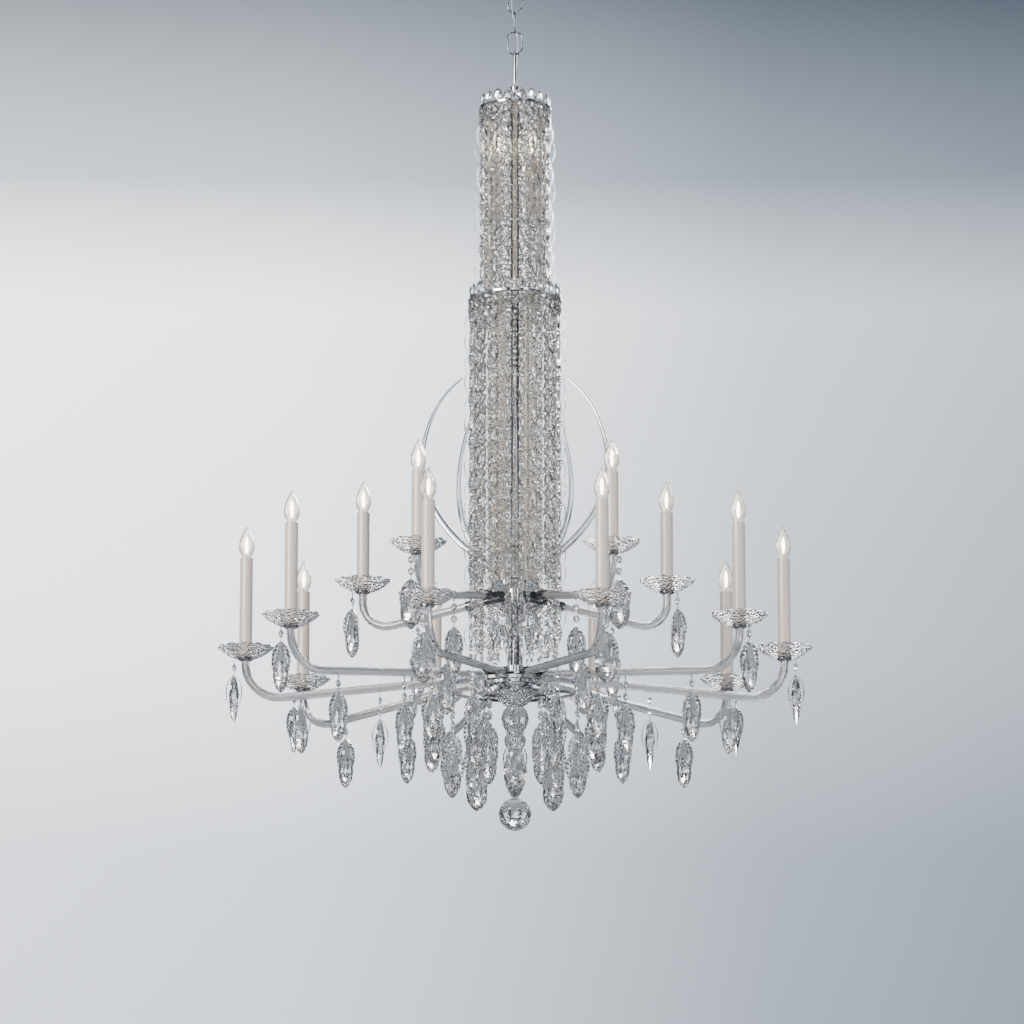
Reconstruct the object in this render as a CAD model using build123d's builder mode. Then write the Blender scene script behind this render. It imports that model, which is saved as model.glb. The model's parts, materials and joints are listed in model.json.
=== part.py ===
"""A two tier crystal chandelier that hangs on a chain from a ceiling canopy.

Frame: +Z up, origin on the ceiling plane at the centre of the outlet box, millimetres. The front is -Y.
A bead-draped column hangs on the chain. Its stem carries two hubs: the upper one holds five candle arms
and five curved glass horns, the lower one ten candle arms. Faceted drops hang from the dishes, the arms
and two rings under the lower hub, and a glass ball ends the stem.
"""
from build123d import *
import math
import os

os.makedirs("parts", exist_ok=True)

# ---------------------------------------------------------------- driving dimensions
GAP = 0.2                  # clearance between pieces that only rest on each other
SLIDE = 0.06               # radial clearance of a tube in its bore

# ceiling set
CANOPY_R, CANOPY_DEPTH, CANOPY_WALL = 62.0, 36.0, 1.5
BAR_LENGTH, BAR_WIDTH, BAR_THICK = 104.0, 18.0, 2.5
BOX_SCREW_SPACING, BOX_SCREW_R = 88.9, 2.4
NIPPLE_R, SHANK_R = 5.0, 10.0
CANOPY_LOOP_WIRE, CANOPY_LOOP_WIDTH, CANOPY_LOOP_HEIGHT = 5.0, 27.0, 33.0
BOSS_EXTRA = 2.0           # a loop's boss is this much taller than its wire

# chain
LINK_WIRE, LINK_LENGTH, LINK_WIDTH = 3.4, 47.0, 29.0
LINK_COUNT = 4
CORD_R, CORD_HOLE_R = 1.5, 2.2
CORD_WEAVE = 5.6           # how far the cord stands off both axes where two links meet

# fixture loop and column
LOOP_WIRE, LOOP_WIDTH, LOOP_HEIGHT = 6.0, 24.0, 71.0
Z_TOP_RING, Z_MID_RING = -347.0, -710.0
STEM_R, STEM_BORE_R = 8.0, 5.0
TOP_RING_R, MID_RING_R, RING_THICK = 66.5, 86.0, 3.0
UPPER_STRAND_R, UPPER_STRANDS = 61.0, 15
LOWER_STRAND_R, LOWER_STRANDS = 80.0, 20
STRAND_HALF = 5.5
UPPER_CAGE_R, UPPER_ROD_R = 47.0, 4.0
LOWER_CAGE_R, LOWER_ROD_R = 36.0, 6.0
INNER_CANDLE_R, Z_INNER_BRACKET = 30.0, -562.0

# hubs and arms: angles are measured from the front
HUB_R, HUB_HEIGHT, HUB_WALL = 20.0, 33.0, 3.0
Z_UPPER_HUB, Z_LOWER_HUB = -1261.5, -1407.5
FLANGE_R = 45.0            # the plate on the upper hub that carries the cage and the horns
HORN_BASE_R, HORN_TIP_R = 6.6, 1.4
HORN_LEAN = 38.0           # how far a horn's foot leans outwards from upright, in degrees
HORN_FOOT_R, HORN_SOCKET = 30.0, 10.0
UPPER_ANGLES = [36 + 72 * k for k in range(5)]
LOWER_ANGLES = [18 + 36 * k for k in range(10)]
HORN_ANGLES = [72 * k for k in range(5)]
ARM_R, ARM_BORE_R, CORE_R, CORE_BORE_R = 7.5, 4.8, 4.5, 3.0
UPPER_REACH, LOWER_REACH = 290.0, 483.0
UPPER_BEND, LOWER_BEND = 48.0, 62.0
UPPER_DIP, LOWER_DIP = 48.5, 45.5      # how far the arm's straight run falls to below the candle
UPPER_FERRULE_R, LOWER_FERRULE_R = 88.0, 62.0
Z_UPPER_DISH, Z_LOWER_DISH = -1234.0, -1376.0

# candles
DISH_R, DISH_DEPTH, DISH_FLOOR_R, DISH_WALL = 50.5, 20.5, 15.0, 3.0
CUP_R, CUP_THICK = 13.5, 3.5
SLEEVE_R, SLEEVE_WALL = 11.6, 1.1
UPPER_SLEEVE, LOWER_SLEEVE, INNER_SLEEVE = 144.0, 181.0, 120.0
SOCKET_R, BASE_R = 9.6, 5.9
BULB_R, BULB_HEIGHT, BULB_NECK_R = 14.2, 61.0, 6.4

# hanging crystals
OCTAGON, OCTAGON_THICK = 14.0, 7.0
PIN_R, PIN_LENGTH = 0.7, 7.0
DISH_DROP_OFFSET = 20.0
OUTER_DROP_RING_R, INNER_DROP_RING_R, RING_WIRE_R = 117.0, 79.0, 2.5
Z_DROP_RING = -1430.0
BALL_R, Z_BALL_TOP = 29.5, -1629.0
FINIAL_ROD_R = 3.0


def at_angle(degrees: float, radius: float, z: float = 0.0) -> Location:
    """A place on a circle round the stem, turned so that its +X points outwards."""
    return Location((0, 0, z), (0, 0, degrees - 90)) * Location((radius, 0, 0))


def copies(part: Part, places: list) -> list:
    """One copy of a part at each place."""
    return [part.moved(place) for place in places]


def save(name: str, shape: Part | Compound) -> None:
    """Labels a finished piece and writes its STEP file."""
    shape.label = name
    export_step(shape, f"parts/{name}.step")


def save_group(name: str, solids: list) -> None:
    """Writes a node that is made of several separate solids."""
    group = Compound(children=[solid for shape in solids for solid in shape.solids()])
    save(name, group)


# ---------------------------------------------------------------- ceiling set
Z_COLLAR = -CANOPY_DEPTH
Z_SHANK_TOP = Z_COLLAR + 4.5
Z_LOOP_BOSS = Z_COLLAR - 14.0
NIPPLE_GRIP = 8.0          # how much of the nipple is screwed into the loop's shank

with BuildPart() as ceiling_crossbar:
    with BuildSketch():
        SlotOverall(BAR_LENGTH, BAR_WIDTH)
        with GridLocations(BOX_SCREW_SPACING, 0, 2, 1):
            Circle(BOX_SCREW_R, mode=Mode.SUBTRACT)
        Circle(NIPPLE_R + SLIDE, mode=Mode.SUBTRACT)
    extrude(amount=-BAR_THICK)
save("ceiling_crossbar", ceiling_crossbar.part)

with BuildPart() as nipple:
    with BuildSketch(Plane.XY.offset(-1.0)):
        Circle(NIPPLE_R)
        Circle(CORD_HOLE_R, mode=Mode.SUBTRACT)
    extrude(amount=Z_SHANK_TOP - NIPPLE_GRIP + GAP + 1.0)
with BuildPart() as locknut:
    with BuildSketch(Plane.XY.offset(-BAR_THICK - GAP)):
        RegularPolygon(9.0, 6)
        Circle(NIPPLE_R + SLIDE, mode=Mode.SUBTRACT)
    extrude(amount=-4.0)
save_group("crossbar_nipple", [nipple.part, locknut.part])

with BuildPart() as ceiling_canopy:
    with BuildSketch(Plane.XZ):
        with BuildLine():
            Polyline((SHANK_R + 0.4, Z_COLLAR), (CANOPY_R * 0.5, Z_COLLAR))
            TangentArc((CANOPY_R * 0.5, Z_COLLAR), (CANOPY_R, -8), tangent=(1, 0))
            Polyline((CANOPY_R, -8), (CANOPY_R, 0), (CANOPY_R - 5, 0), (CANOPY_R - 5, -CANOPY_WALL),
                     (CANOPY_R - CANOPY_WALL, -CANOPY_WALL), (CANOPY_R - CANOPY_WALL, -8))
            TangentArc((CANOPY_R * 0.5, Z_COLLAR + CANOPY_WALL), (CANOPY_R - CANOPY_WALL, -8),
                       tangent=(1, 0))
            Polyline((CANOPY_R * 0.5, Z_COLLAR + CANOPY_WALL), (SHANK_R + 0.4, Z_COLLAR + CANOPY_WALL),
                     (SHANK_R + 0.4, Z_COLLAR))
        make_face()
    revolve(axis=Axis.Z)
save("ceiling_canopy", ceiling_canopy.part)

with BuildPart() as collar_ring:
    with BuildSketch(Plane.XY.offset(Z_COLLAR - GAP)):
        RegularPolygon(17.0, 12)
        Circle(SHANK_R + SLIDE, mode=Mode.SUBTRACT)
    extrude(amount=-7.0)
    chamfer(collar_ring.edges().group_by(Axis.Z)[0].filter_by(GeomType.LINE), 1.2)
save("collar_ring", collar_ring.part)


def wire_oval(wire: float, width: float, pitch: float) -> Part:
    """A closed oval of round wire in the XZ plane. Its wire centres reach half the pitch above and below z 0."""
    side = (width - wire) / 2
    half = pitch / 2 - side
    with BuildPart() as oval:
        with BuildLine(Plane.XZ):
            Line((side, -half), (side, half))
            ThreePointArc((side, half), (0, half + side), (-side, half))
            Line((-side, half), (-side, -half))
            ThreePointArc((-side, -half), (0, -half - side), (side, -half))
        with BuildSketch(Plane(origin=(side, 0, -half), z_dir=(0, 0, 1))):
            Circle(wire / 2)
        sweep()
    return oval.part


def hanging_loop(wire: float, width: float, pitch: float, boss_r: float) -> Part:
    """A wire oval that stands up from a round boss at z 0, with a hole for the cord down through the boss."""
    with BuildPart() as loop:
        with Locations((0, 0, pitch / 2)):
            add(wire_oval(wire, width, pitch))
        Cylinder(boss_r, wire + BOSS_EXTRA)
        Cylinder(CORD_HOLE_R, 2 * wire, mode=Mode.SUBTRACT)
    return loop.part


with BuildPart() as canopy_loop:
    with Locations(Location((0, 0, Z_LOOP_BOSS), (180, 0, 0))):
        add(hanging_loop(CANOPY_LOOP_WIRE, CANOPY_LOOP_WIDTH, CANOPY_LOOP_HEIGHT, SHANK_R))
    with BuildSketch(Plane.XY.offset(Z_LOOP_BOSS)):
        Circle(SHANK_R)
        Circle(CORD_HOLE_R, mode=Mode.SUBTRACT)
    extrude(amount=Z_SHANK_TOP - Z_LOOP_BOSS)
    with BuildSketch(Plane.XY.offset(Z_SHANK_TOP)):
        Circle(NIPPLE_R + SLIDE)
    extrude(amount=-NIPPLE_GRIP, mode=Mode.SUBTRACT)
save("canopy_loop", canopy_loop.part)

# ---------------------------------------------------------------- chain
LINK_PITCH = LINK_LENGTH - LINK_WIRE
Z_CANOPY_ARC = Z_LOOP_BOSS - CANOPY_LOOP_HEIGHT

chain_link = wire_oval(LINK_WIRE, LINK_WIDTH, LINK_PITCH)
contact_heights = []       # where each pair of loops meets, from the ceiling down
pivot_heights = []         # the wire centre that each lower loop swings on
arc = Z_CANOPY_ARC
wire_above = CANOPY_LOOP_WIRE
for number in range(1, LINK_COUNT + 1):
    top_arc = arc + (wire_above + LINK_WIRE) / 2 + GAP
    pivot_heights.append(arc)
    contact_heights.append((arc + top_arc) / 2)
    turn = 90 if number % 2 else 0
    link = chain_link.moved(Location((0, 0, top_arc - LINK_PITCH / 2), (0, 0, turn)))
    save(f"chain_link_{number}", link)
    arc, wire_above = top_arc - LINK_PITCH, LINK_WIRE
fixture_arc = arc + (LINK_WIRE + LOOP_WIRE) / 2 + GAP
pivot_heights.append(arc)
contact_heights.append((arc + fixture_arc) / 2)
Z_FIXTURE_BOSS = fixture_arc - LOOP_HEIGHT
print("chain pivots", [round(z, 2) for z in pivot_heights], "fixture boss", round(Z_FIXTURE_BOSS, 2))

weave = [(1, 1), (-1, 1), (-1, -1), (1, -1), (1, 1)]
cord_points = [(0, 0, Z_LOOP_BOSS - CANOPY_LOOP_WIRE / 2 - 3.0)]
cord_points += [(CORD_WEAVE * x, CORD_WEAVE * y, z) for (x, y), z in zip(weave, contact_heights)]
cord_points += [(1.5, 1.5, Z_FIXTURE_BOSS + 24.0), (0, 0, Z_FIXTURE_BOSS + LOOP_WIRE / 2 + 1.6)]


def bend_radii(points: list) -> list:
    """The largest arc that each corner's two runs leave room for."""
    radii = []
    for before, corner, after in zip(points, points[1:], points[2:]):
        first, second = Vector(*corner) - Vector(*before), Vector(*after) - Vector(*corner)
        turn_angle = math.radians(first.get_angle(second))
        radii.append(0.45 * min(first.length, second.length) / math.tan(turn_angle / 2))
    return radii


with BuildPart() as supply_cord:
    with BuildLine() as cord_route:
        FilletPolyline(*cord_points, radius=bend_radii(cord_points))
    with BuildSketch(Plane(origin=cord_points[0], z_dir=cord_route.line % 0)):
        Circle(CORD_R)
    sweep()
cord_length = cord_route.wire().length
print("cord radii", [round(r, 1) for r in bend_radii(cord_points)], "length", round(cord_length, 1),
      "volume share", round(supply_cord.part.volume / (math.pi * CORD_R**2 * cord_length), 4))
save("supply_cord", supply_cord.part)

# ---------------------------------------------------------------- stem, dome, rings and cages
Z_STEM_TOP = Z_TOP_RING + 9.0
Z_STEM_BOTTOM = Z_LOWER_HUB + HUB_HEIGHT / 2 - HUB_WALL - 0.5

with BuildPart() as fixture_loop:
    with Locations(Location((0, 0, Z_FIXTURE_BOSS), (0, 0, 90))):
        add(hanging_loop(LOOP_WIRE, LOOP_WIDTH, LOOP_HEIGHT, 8.0))
    with BuildSketch(Plane.XY.offset(Z_FIXTURE_BOSS - 3.0)):
        Circle(STEM_BORE_R - SLIDE)
        Circle(CORD_HOLE_R, mode=Mode.SUBTRACT)
    extrude(amount=Z_STEM_TOP - 12.0 - Z_FIXTURE_BOSS + 3.0)
save("fixture_loop", fixture_loop.part)

with BuildPart() as stem_tube:
    with BuildSketch(Plane.XY.offset(Z_STEM_TOP)):
        Circle(STEM_R)
        Circle(STEM_BORE_R, mode=Mode.SUBTRACT)
    extrude(amount=Z_STEM_BOTTOM - Z_STEM_TOP)
save("stem_tube", stem_tube.part)

DOME_R, DOME_WALL = 31.0, 3.0
DOME_TOP = Z_FIXTURE_BOSS - LOOP_WIRE - 2.2
with BuildPart() as top_dome:
    with BuildSketch(Plane.XZ):
        with BuildLine():
            Line((STEM_BORE_R + 0.4, DOME_TOP), (9, DOME_TOP))
            ThreePointArc((9, DOME_TOP), (24, DOME_TOP - 10), (DOME_R, Z_TOP_RING + GAP))
            Line((DOME_R, Z_TOP_RING + GAP), (DOME_R - DOME_WALL, Z_TOP_RING + GAP))
            ThreePointArc((DOME_R - DOME_WALL, Z_TOP_RING + GAP), (22, DOME_TOP - 13), (9, DOME_TOP - DOME_WALL))
            Polyline((9, DOME_TOP - DOME_WALL), (STEM_BORE_R + 0.4, DOME_TOP - DOME_WALL),
                     (STEM_BORE_R + 0.4, DOME_TOP))
        make_face()
    revolve(axis=Axis.Z)
save("top_dome", top_dome.part)


def spoked_ring(outer_r: float, band: float, spoke: float, spoke_angles: list) -> Part:
    """A flat ring with spokes to a collar that fits the stem, its top face at z 0."""
    with BuildPart() as ring:
        with BuildSketch():
            Circle(outer_r)
            Circle(outer_r - band, mode=Mode.SUBTRACT)
            Circle(STEM_R + 5)
            for angle in spoke_angles:
                with Locations(at_angle(angle, (outer_r - band / 2) / 2)):
                    Rectangle(outer_r - band / 2, spoke)
            Circle(STEM_R + SLIDE, mode=Mode.SUBTRACT)
        extrude(amount=-RING_THICK)
    return ring.part


with BuildPart() as top_ring:
    with Locations((0, 0, Z_TOP_RING)):
        add(spoked_ring(TOP_RING_R, 11.0, 9.0, HORN_ANGLES))
save("top_ring", top_ring.part)

with BuildPart() as mid_ring:
    with Locations((0, 0, Z_MID_RING)):
        add(spoked_ring(MID_RING_R, 14.0, 13.0, UPPER_ANGLES))
        add(spoked_ring(UPPER_CAGE_R + 6.0, 8.0, 9.0, HORN_ANGLES))
save("mid_ring", mid_ring.part)

PETAL_HALF, PETAL_HEIGHT, PETAL_THICK = 10.0, 23.0, 3.0
TOP_PETALS, MID_PETALS = 18, 24
with BuildPart() as petal:
    with BuildSketch(Plane.YZ):
        with BuildLine():
            Line((-PETAL_HALF * 0.45, 0), (PETAL_HALF * 0.45, 0))
            Line((PETAL_HALF * 0.45, 0), (PETAL_HALF, PETAL_HEIGHT * 0.5))
            ThreePointArc((PETAL_HALF, PETAL_HEIGHT * 0.5), (0, PETAL_HEIGHT),
                          (-PETAL_HALF, PETAL_HEIGHT * 0.5))
            Line((-PETAL_HALF, PETAL_HEIGHT * 0.5), (-PETAL_HALF * 0.45, 0))
        make_face()
    extrude(amount=PETAL_THICK)

petal_places = []
for ring_r, count, z in ((TOP_RING_R, TOP_PETALS, Z_TOP_RING), (MID_RING_R, MID_PETALS, Z_MID_RING)):
    petal_places += [at_angle(360 * (k + 0.5) / count, ring_r - 2 * PETAL_THICK, z + GAP)
                     for k in range(count)]
save_group("crown_petals", copies(petal.part, petal_places))


def rod(radius: float, length: float) -> Part:
    """An upright rod hanging down from z 0."""
    with BuildPart() as piece:
        with BuildSketch():
            Circle(radius)
        extrude(amount=-length)
    return piece.part


cage_top, cage_bottom = Z_TOP_RING - RING_THICK - GAP, Z_MID_RING + GAP
upper_rod = rod(UPPER_ROD_R, cage_top - cage_bottom)
save_group("upper_cage", copies(upper_rod, [at_angle(a, UPPER_CAGE_R, cage_top) for a in HORN_ANGLES]))

Z_FLANGE = Z_UPPER_HUB + HUB_HEIGHT / 2 + 5.0      # top face of the plate that the lower cage stands on
lower_top = Z_MID_RING - RING_THICK - GAP
lower_rod = rod(LOWER_ROD_R, lower_top - Z_FLANGE - GAP)
save_group("lower_cage", copies(lower_rod, [at_angle(a, LOWER_CAGE_R, lower_top) for a in UPPER_ANGLES]))

strand_top = Z_TOP_RING - RING_THICK - 1.0
upper_strand = rod(STRAND_HALF, strand_top - Z_MID_RING - 8.0)
upper_places = [at_angle(360 * (k + 0.5) / UPPER_STRANDS, UPPER_STRAND_R, strand_top)
                for k in range(UPPER_STRANDS)]
save_group("upper_strands", copies(upper_strand, upper_places))

lower_strand_top = Z_MID_RING - RING_THICK - 1.0
SHORT_END, LONG_END = Z_FLANGE + 1.0, Z_LOWER_HUB + 19.0
short_strand = rod(STRAND_HALF, lower_strand_top - SHORT_END)
long_strand = rod(STRAND_HALF, lower_strand_top - LONG_END)
lower_strands = []
for k in range(LOWER_STRANDS):
    angle = 360 * (k + 0.5) / LOWER_STRANDS
    beside_arm = min(abs((angle - a + 180) % 360 - 180) for a in UPPER_ANGLES) < 18
    lower_strands.append((short_strand if beside_arm else long_strand).moved(
        at_angle(angle, LOWER_STRAND_R, lower_strand_top)))
save_group("lower_strands", lower_strands)

# ---------------------------------------------------------------- hubs and their dishes


def hub(angles: list, flange_r: float) -> Part:
    """A hollow round hub with a wire hole for each arm, centred on z 0; flange_r is the plate on its top."""
    with BuildPart() as body:
        Cylinder(HUB_R, HUB_HEIGHT)
        if flange_r > HUB_R:
            with Locations((0, 0, HUB_HEIGHT / 2 + 2.5)):
                Cylinder(flange_r, 5.0)
        fillet(body.edges().filter_by(GeomType.CIRCLE).group_by(Axis.Z)[0], 1.5)
        Cylinder(HUB_R - HUB_WALL, HUB_HEIGHT - 2 * HUB_WALL, mode=Mode.SUBTRACT)
        Cylinder(STEM_R + SLIDE, 2 * HUB_HEIGHT, mode=Mode.SUBTRACT)
        for angle in angles:
            with Locations(at_angle(angle, HUB_R - HUB_WALL / 2) * Location((0, 0, 0), (0, 90, 0))):
                Cylinder(CORE_BORE_R, 2 * HUB_WALL, mode=Mode.SUBTRACT)
    return body.part


with BuildPart() as upper_hub:
    with Locations((0, 0, Z_UPPER_HUB)):
        add(hub(UPPER_ANGLES, FLANGE_R))
    for angle in HORN_ANGLES:
        foot_top = (at_angle(angle, HORN_FOOT_R, Z_FLANGE + HORN_SOCKET)
                    * Location((0, 0, 0), (0, HORN_LEAN, 0)))
        with Locations(foot_top * Location((0, 0, -GAP))):
            Cylinder(HORN_BASE_R + 2.0, HORN_SOCKET + 2.0, align=(Align.CENTER, Align.CENTER, Align.MAX))
    with BuildSketch(Plane.XY.offset(Z_FLANGE - 5.0)):
        Circle(2 * FLANGE_R)
        Circle(HUB_R, mode=Mode.SUBTRACT)
    extrude(amount=-HUB_HEIGHT, mode=Mode.SUBTRACT)
save("upper_hub", upper_hub.part)

with BuildPart() as lower_hub:
    with Locations((0, 0, Z_LOWER_HUB)):
        add(hub(LOWER_ANGLES, 0.0))
save("lower_hub", lower_hub.part)


def bowl(outer_r: float, depth: float, wall: float, bore_r: float) -> Part:
    """A shallow round bowl, its rim up at z 0 and its floor at -depth, with a hole in the floor."""
    with BuildPart() as piece:
        with BuildSketch(Plane.XZ):
            with BuildLine():
                Line((bore_r, -depth), (outer_r * 0.3, -depth))
                ThreePointArc((outer_r * 0.3, -depth), (outer_r * 0.74, -depth * 0.62), (outer_r, 0))
                Line((outer_r, 0), (outer_r - wall, 0))
                ThreePointArc((outer_r - wall, 0), (outer_r * 0.7, -depth * 0.62 + wall * 0.7),
                              (outer_r * 0.3, -depth + wall))
                Polyline((outer_r * 0.3, -depth + wall), (bore_r, -depth + wall), (bore_r, -depth))
            make_face()
        revolve(axis=Axis.Z)
    return piece.part


Z_UPPER_DISH_RIM = Z_UPPER_HUB - HUB_HEIGHT / 2 - GAP
with BuildPart() as upper_hub_dish:
    with Locations((0, 0, Z_UPPER_DISH_RIM - 2.0)):
        add(bowl(52.0, 18.0, 3.0, STEM_R + SLIDE))
save("upper_hub_dish", upper_hub_dish.part)

Z_BOWL_RIM = Z_DROP_RING - RING_WIRE_R - 3.5
with BuildPart() as lower_hub_bowl:
    with Locations((0, 0, Z_BOWL_RIM)):
        add(bowl(38.0, 28.0, 3.0, FINIAL_ROD_R + SLIDE))
save("lower_hub_bowl", lower_hub_bowl.part)

with BuildPart() as drop_rings:
    with BuildSketch(Plane.XY.offset(Z_DROP_RING - RING_WIRE_R)):
        for radius in (OUTER_DROP_RING_R, INNER_DROP_RING_R):
            Circle(radius + RING_WIRE_R)
            Circle(radius - RING_WIRE_R, mode=Mode.SUBTRACT)
        Circle(12.0)
        for angle in UPPER_ANGLES:
            with Locations(at_angle(angle, OUTER_DROP_RING_R / 2)):
                Rectangle(OUTER_DROP_RING_R, 2 * RING_WIRE_R)
        Circle(FINIAL_ROD_R + SLIDE, mode=Mode.SUBTRACT)
    extrude(amount=2 * RING_WIRE_R)
save("drop_rings", drop_rings.part)

# ---------------------------------------------------------------- arms


def arm_route(z_hub: float, reach: float, dip: float, bend: float, z_end: float, start_r: float) -> Wire:
    """The centreline of a J shaped arm in the XZ plane, from start_r out to the candle and up to z_end."""
    slope = dip / (reach - HUB_R)
    with BuildLine(Plane.XZ) as route:
        FilletPolyline((start_r, z_hub - slope * (start_r - HUB_R)), (reach, z_hub - dip), (reach, z_end),
                       radius=bend)
    return route.wire()


def swept_tube(route: Wire, outer_r: float, bore_r: float) -> Part:
    """A round tube along a route."""
    with BuildPart() as piece:
        with BuildSketch(Plane(origin=route @ 0, z_dir=route % 0)):
            Circle(outer_r)
            Circle(bore_r, mode=Mode.SUBTRACT)
        sweep(path=route)
    return piece.part


def arm_socket(z_hub: float, reach: float, dip: float, ferrule_r: float) -> Part:
    """The chrome stub that screws to the hub and ends in a cup that holds the glass."""
    fall = math.degrees(math.atan2(dip, reach - HUB_R))
    run = (ferrule_r - HUB_R) / math.cos(math.radians(fall))
    with BuildPart() as piece:
        with BuildSketch(Plane.XY):
            with BuildLine():
                Polyline((1.2, CORE_R + SLIDE), (1.2, 6.2), (run - 14, 6.2), (run - 10, 9.6), (run + 4, 9.6),
                         (run + 4, ARM_R + SLIDE), (run + 0.3, ARM_R + SLIDE), (run + 0.3, CORE_R + SLIDE),
                         (1.2, CORE_R + SLIDE))
            make_face()
        revolve(axis=Axis.X)
    return piece.part.moved(Location((HUB_R, 0, z_hub), (0, fall, 0)))


arm_cores, sockets = [], []
for tier, z_hub, reach, dip, bend, z_dish, ferrule_r, angles in (
        ("upper", Z_UPPER_HUB, UPPER_REACH, UPPER_DIP, UPPER_BEND, Z_UPPER_DISH, UPPER_FERRULE_R, UPPER_ANGLES),
        ("lower", Z_LOWER_HUB, LOWER_REACH, LOWER_DIP, LOWER_BEND, Z_LOWER_DISH, LOWER_FERRULE_R, LOWER_ANGLES)):
    z_end = z_dish - CUP_THICK - 2 * GAP
    core = swept_tube(arm_route(z_hub, reach, dip, bend, z_end, HUB_R + 1.4), CORE_R, CORE_BORE_R)
    glass = swept_tube(arm_route(z_hub, reach, dip, bend, z_end, ferrule_r + 0.6), ARM_R, ARM_BORE_R)
    turns = [Location((0, 0, 0), (0, 0, angle - 90)) for angle in angles]
    arm_cores += copies(core, turns)
    sockets += copies(arm_socket(z_hub, reach, dip, ferrule_r), turns)
    save_group(f"{tier}_arm_glass", copies(glass, turns))
save_group("arm_cores", arm_cores)
save_group("arm_sockets", sockets)

# the curved horns: a tapering glass rod that springs from the upper hub's plate and curls back in at its tip
foot_way = (math.sin(math.radians(HORN_LEAN)), math.cos(math.radians(HORN_LEAN)))
HORN_POINTS = [(HORN_FOOT_R, Z_FLANGE + HORN_SOCKET), (91.8, -1179.0), (150.5, -1115.0), (175.0, -1038.0),
               (171.0, -987.0),
               (156.0, -939.0), (128.0, -893.0), (100.0, -865.5)]
HORN_STATIONS = 9
with BuildLine(Plane.XZ) as horn_line:
    Spline(*HORN_POINTS, tangents=(foot_way, (-0.77, 0.64)))
horn_wire = horn_line.wire()
with BuildPart() as horn:
    for k in range(HORN_STATIONS):
        share = k / (HORN_STATIONS - 1)
        with BuildSketch(Plane(origin=horn_wire @ share, z_dir=horn_wire % share)):
            Circle(HORN_BASE_R + (HORN_TIP_R - HORN_BASE_R) * share ** 1.6)
    loft()
horn_turns = [Location((0, 0, 0), (0, 0, angle - 90)) for angle in HORN_ANGLES]
save_group("glass_horns", copies(horn.part, horn_turns))

# ---------------------------------------------------------------- candles
with BuildPart() as bobeche:
    with BuildSketch(Plane.XZ):
        with BuildLine():
            Line((6.4, 0), (DISH_FLOOR_R, 0))
            ThreePointArc((DISH_FLOOR_R, 0), (DISH_R * 0.66, DISH_DEPTH * 0.42), (DISH_R, DISH_DEPTH))
            Line((DISH_R, DISH_DEPTH), (DISH_R - 2.6, DISH_DEPTH + 0.8))
            ThreePointArc((DISH_R - 2.6, DISH_DEPTH + 0.8), (DISH_R * 0.62, DISH_DEPTH * 0.42 + 2.6),
                          (DISH_FLOOR_R, DISH_WALL))
            Polyline((DISH_FLOOR_R, DISH_WALL), (6.4, DISH_WALL), (6.4, 0))
        make_face()
    revolve(axis=Axis.Z)

with BuildPart() as candle_cup:
    with BuildSketch(Plane.XZ):
        with BuildLine():
            Polyline((CORE_BORE_R, -CUP_THICK - GAP), (CUP_R - 3.0, -CUP_THICK - GAP), (CUP_R, -GAP - 1.0), (CUP_R, -GAP),
                     (6.2, -GAP), (6.2, DISH_WALL + 3.0), (CORE_BORE_R, DISH_WALL + 3.0),
                     (CORE_BORE_R, -CUP_THICK - GAP))
        make_face()
    revolve(axis=Axis.Z)


def candle_socket(sleeve: float) -> Part:
    """The hollow stalk inside a sleeve with the lamp socket on its top, standing on z 0."""
    stalk_bottom = DISH_WALL + 3.0 + GAP
    top = DISH_WALL + sleeve - 6.0
    with BuildPart() as piece:
        with BuildSketch(Plane.XZ):
            with BuildLine():
                Polyline((2.5, stalk_bottom), (4.0, stalk_bottom), (4.0, top - 34), (SOCKET_R, top - 30),
                         (SOCKET_R, top), (BASE_R + 0.4, top), (BASE_R + 0.4, top - 17), (2.5, top - 17),
                         (2.5, stalk_bottom))
            make_face()
        revolve(axis=Axis.Z)
    return piece.part


def candle_sleeve(sleeve: float) -> Part:
    """The pearl coated tube round a socket, standing on the dish's floor."""
    with BuildPart() as piece:
        with BuildSketch(Plane.XY.offset(DISH_WALL + 0.1)):
            Circle(SLEEVE_R)
            Circle(SLEEVE_R - SLEEVE_WALL, mode=Mode.SUBTRACT)
        extrude(amount=sleeve - 0.1)
        fillet(piece.edges().group_by(Axis.Z)[-1], 0.4)
    return piece.part


with BuildPart() as bulb_base:
    with BuildSketch(Plane.XZ):
        with BuildLine():
            Polyline((0, -22.5), (3.0, -22.5), (4.2, -20.5), (BASE_R, -19.5), (BASE_R, -6.0), (BULB_NECK_R, -4.0),
                     (BULB_NECK_R, -1.0), (0, -1.0), (0, -22.5))
        make_face()
    revolve(axis=Axis.Z)

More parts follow.
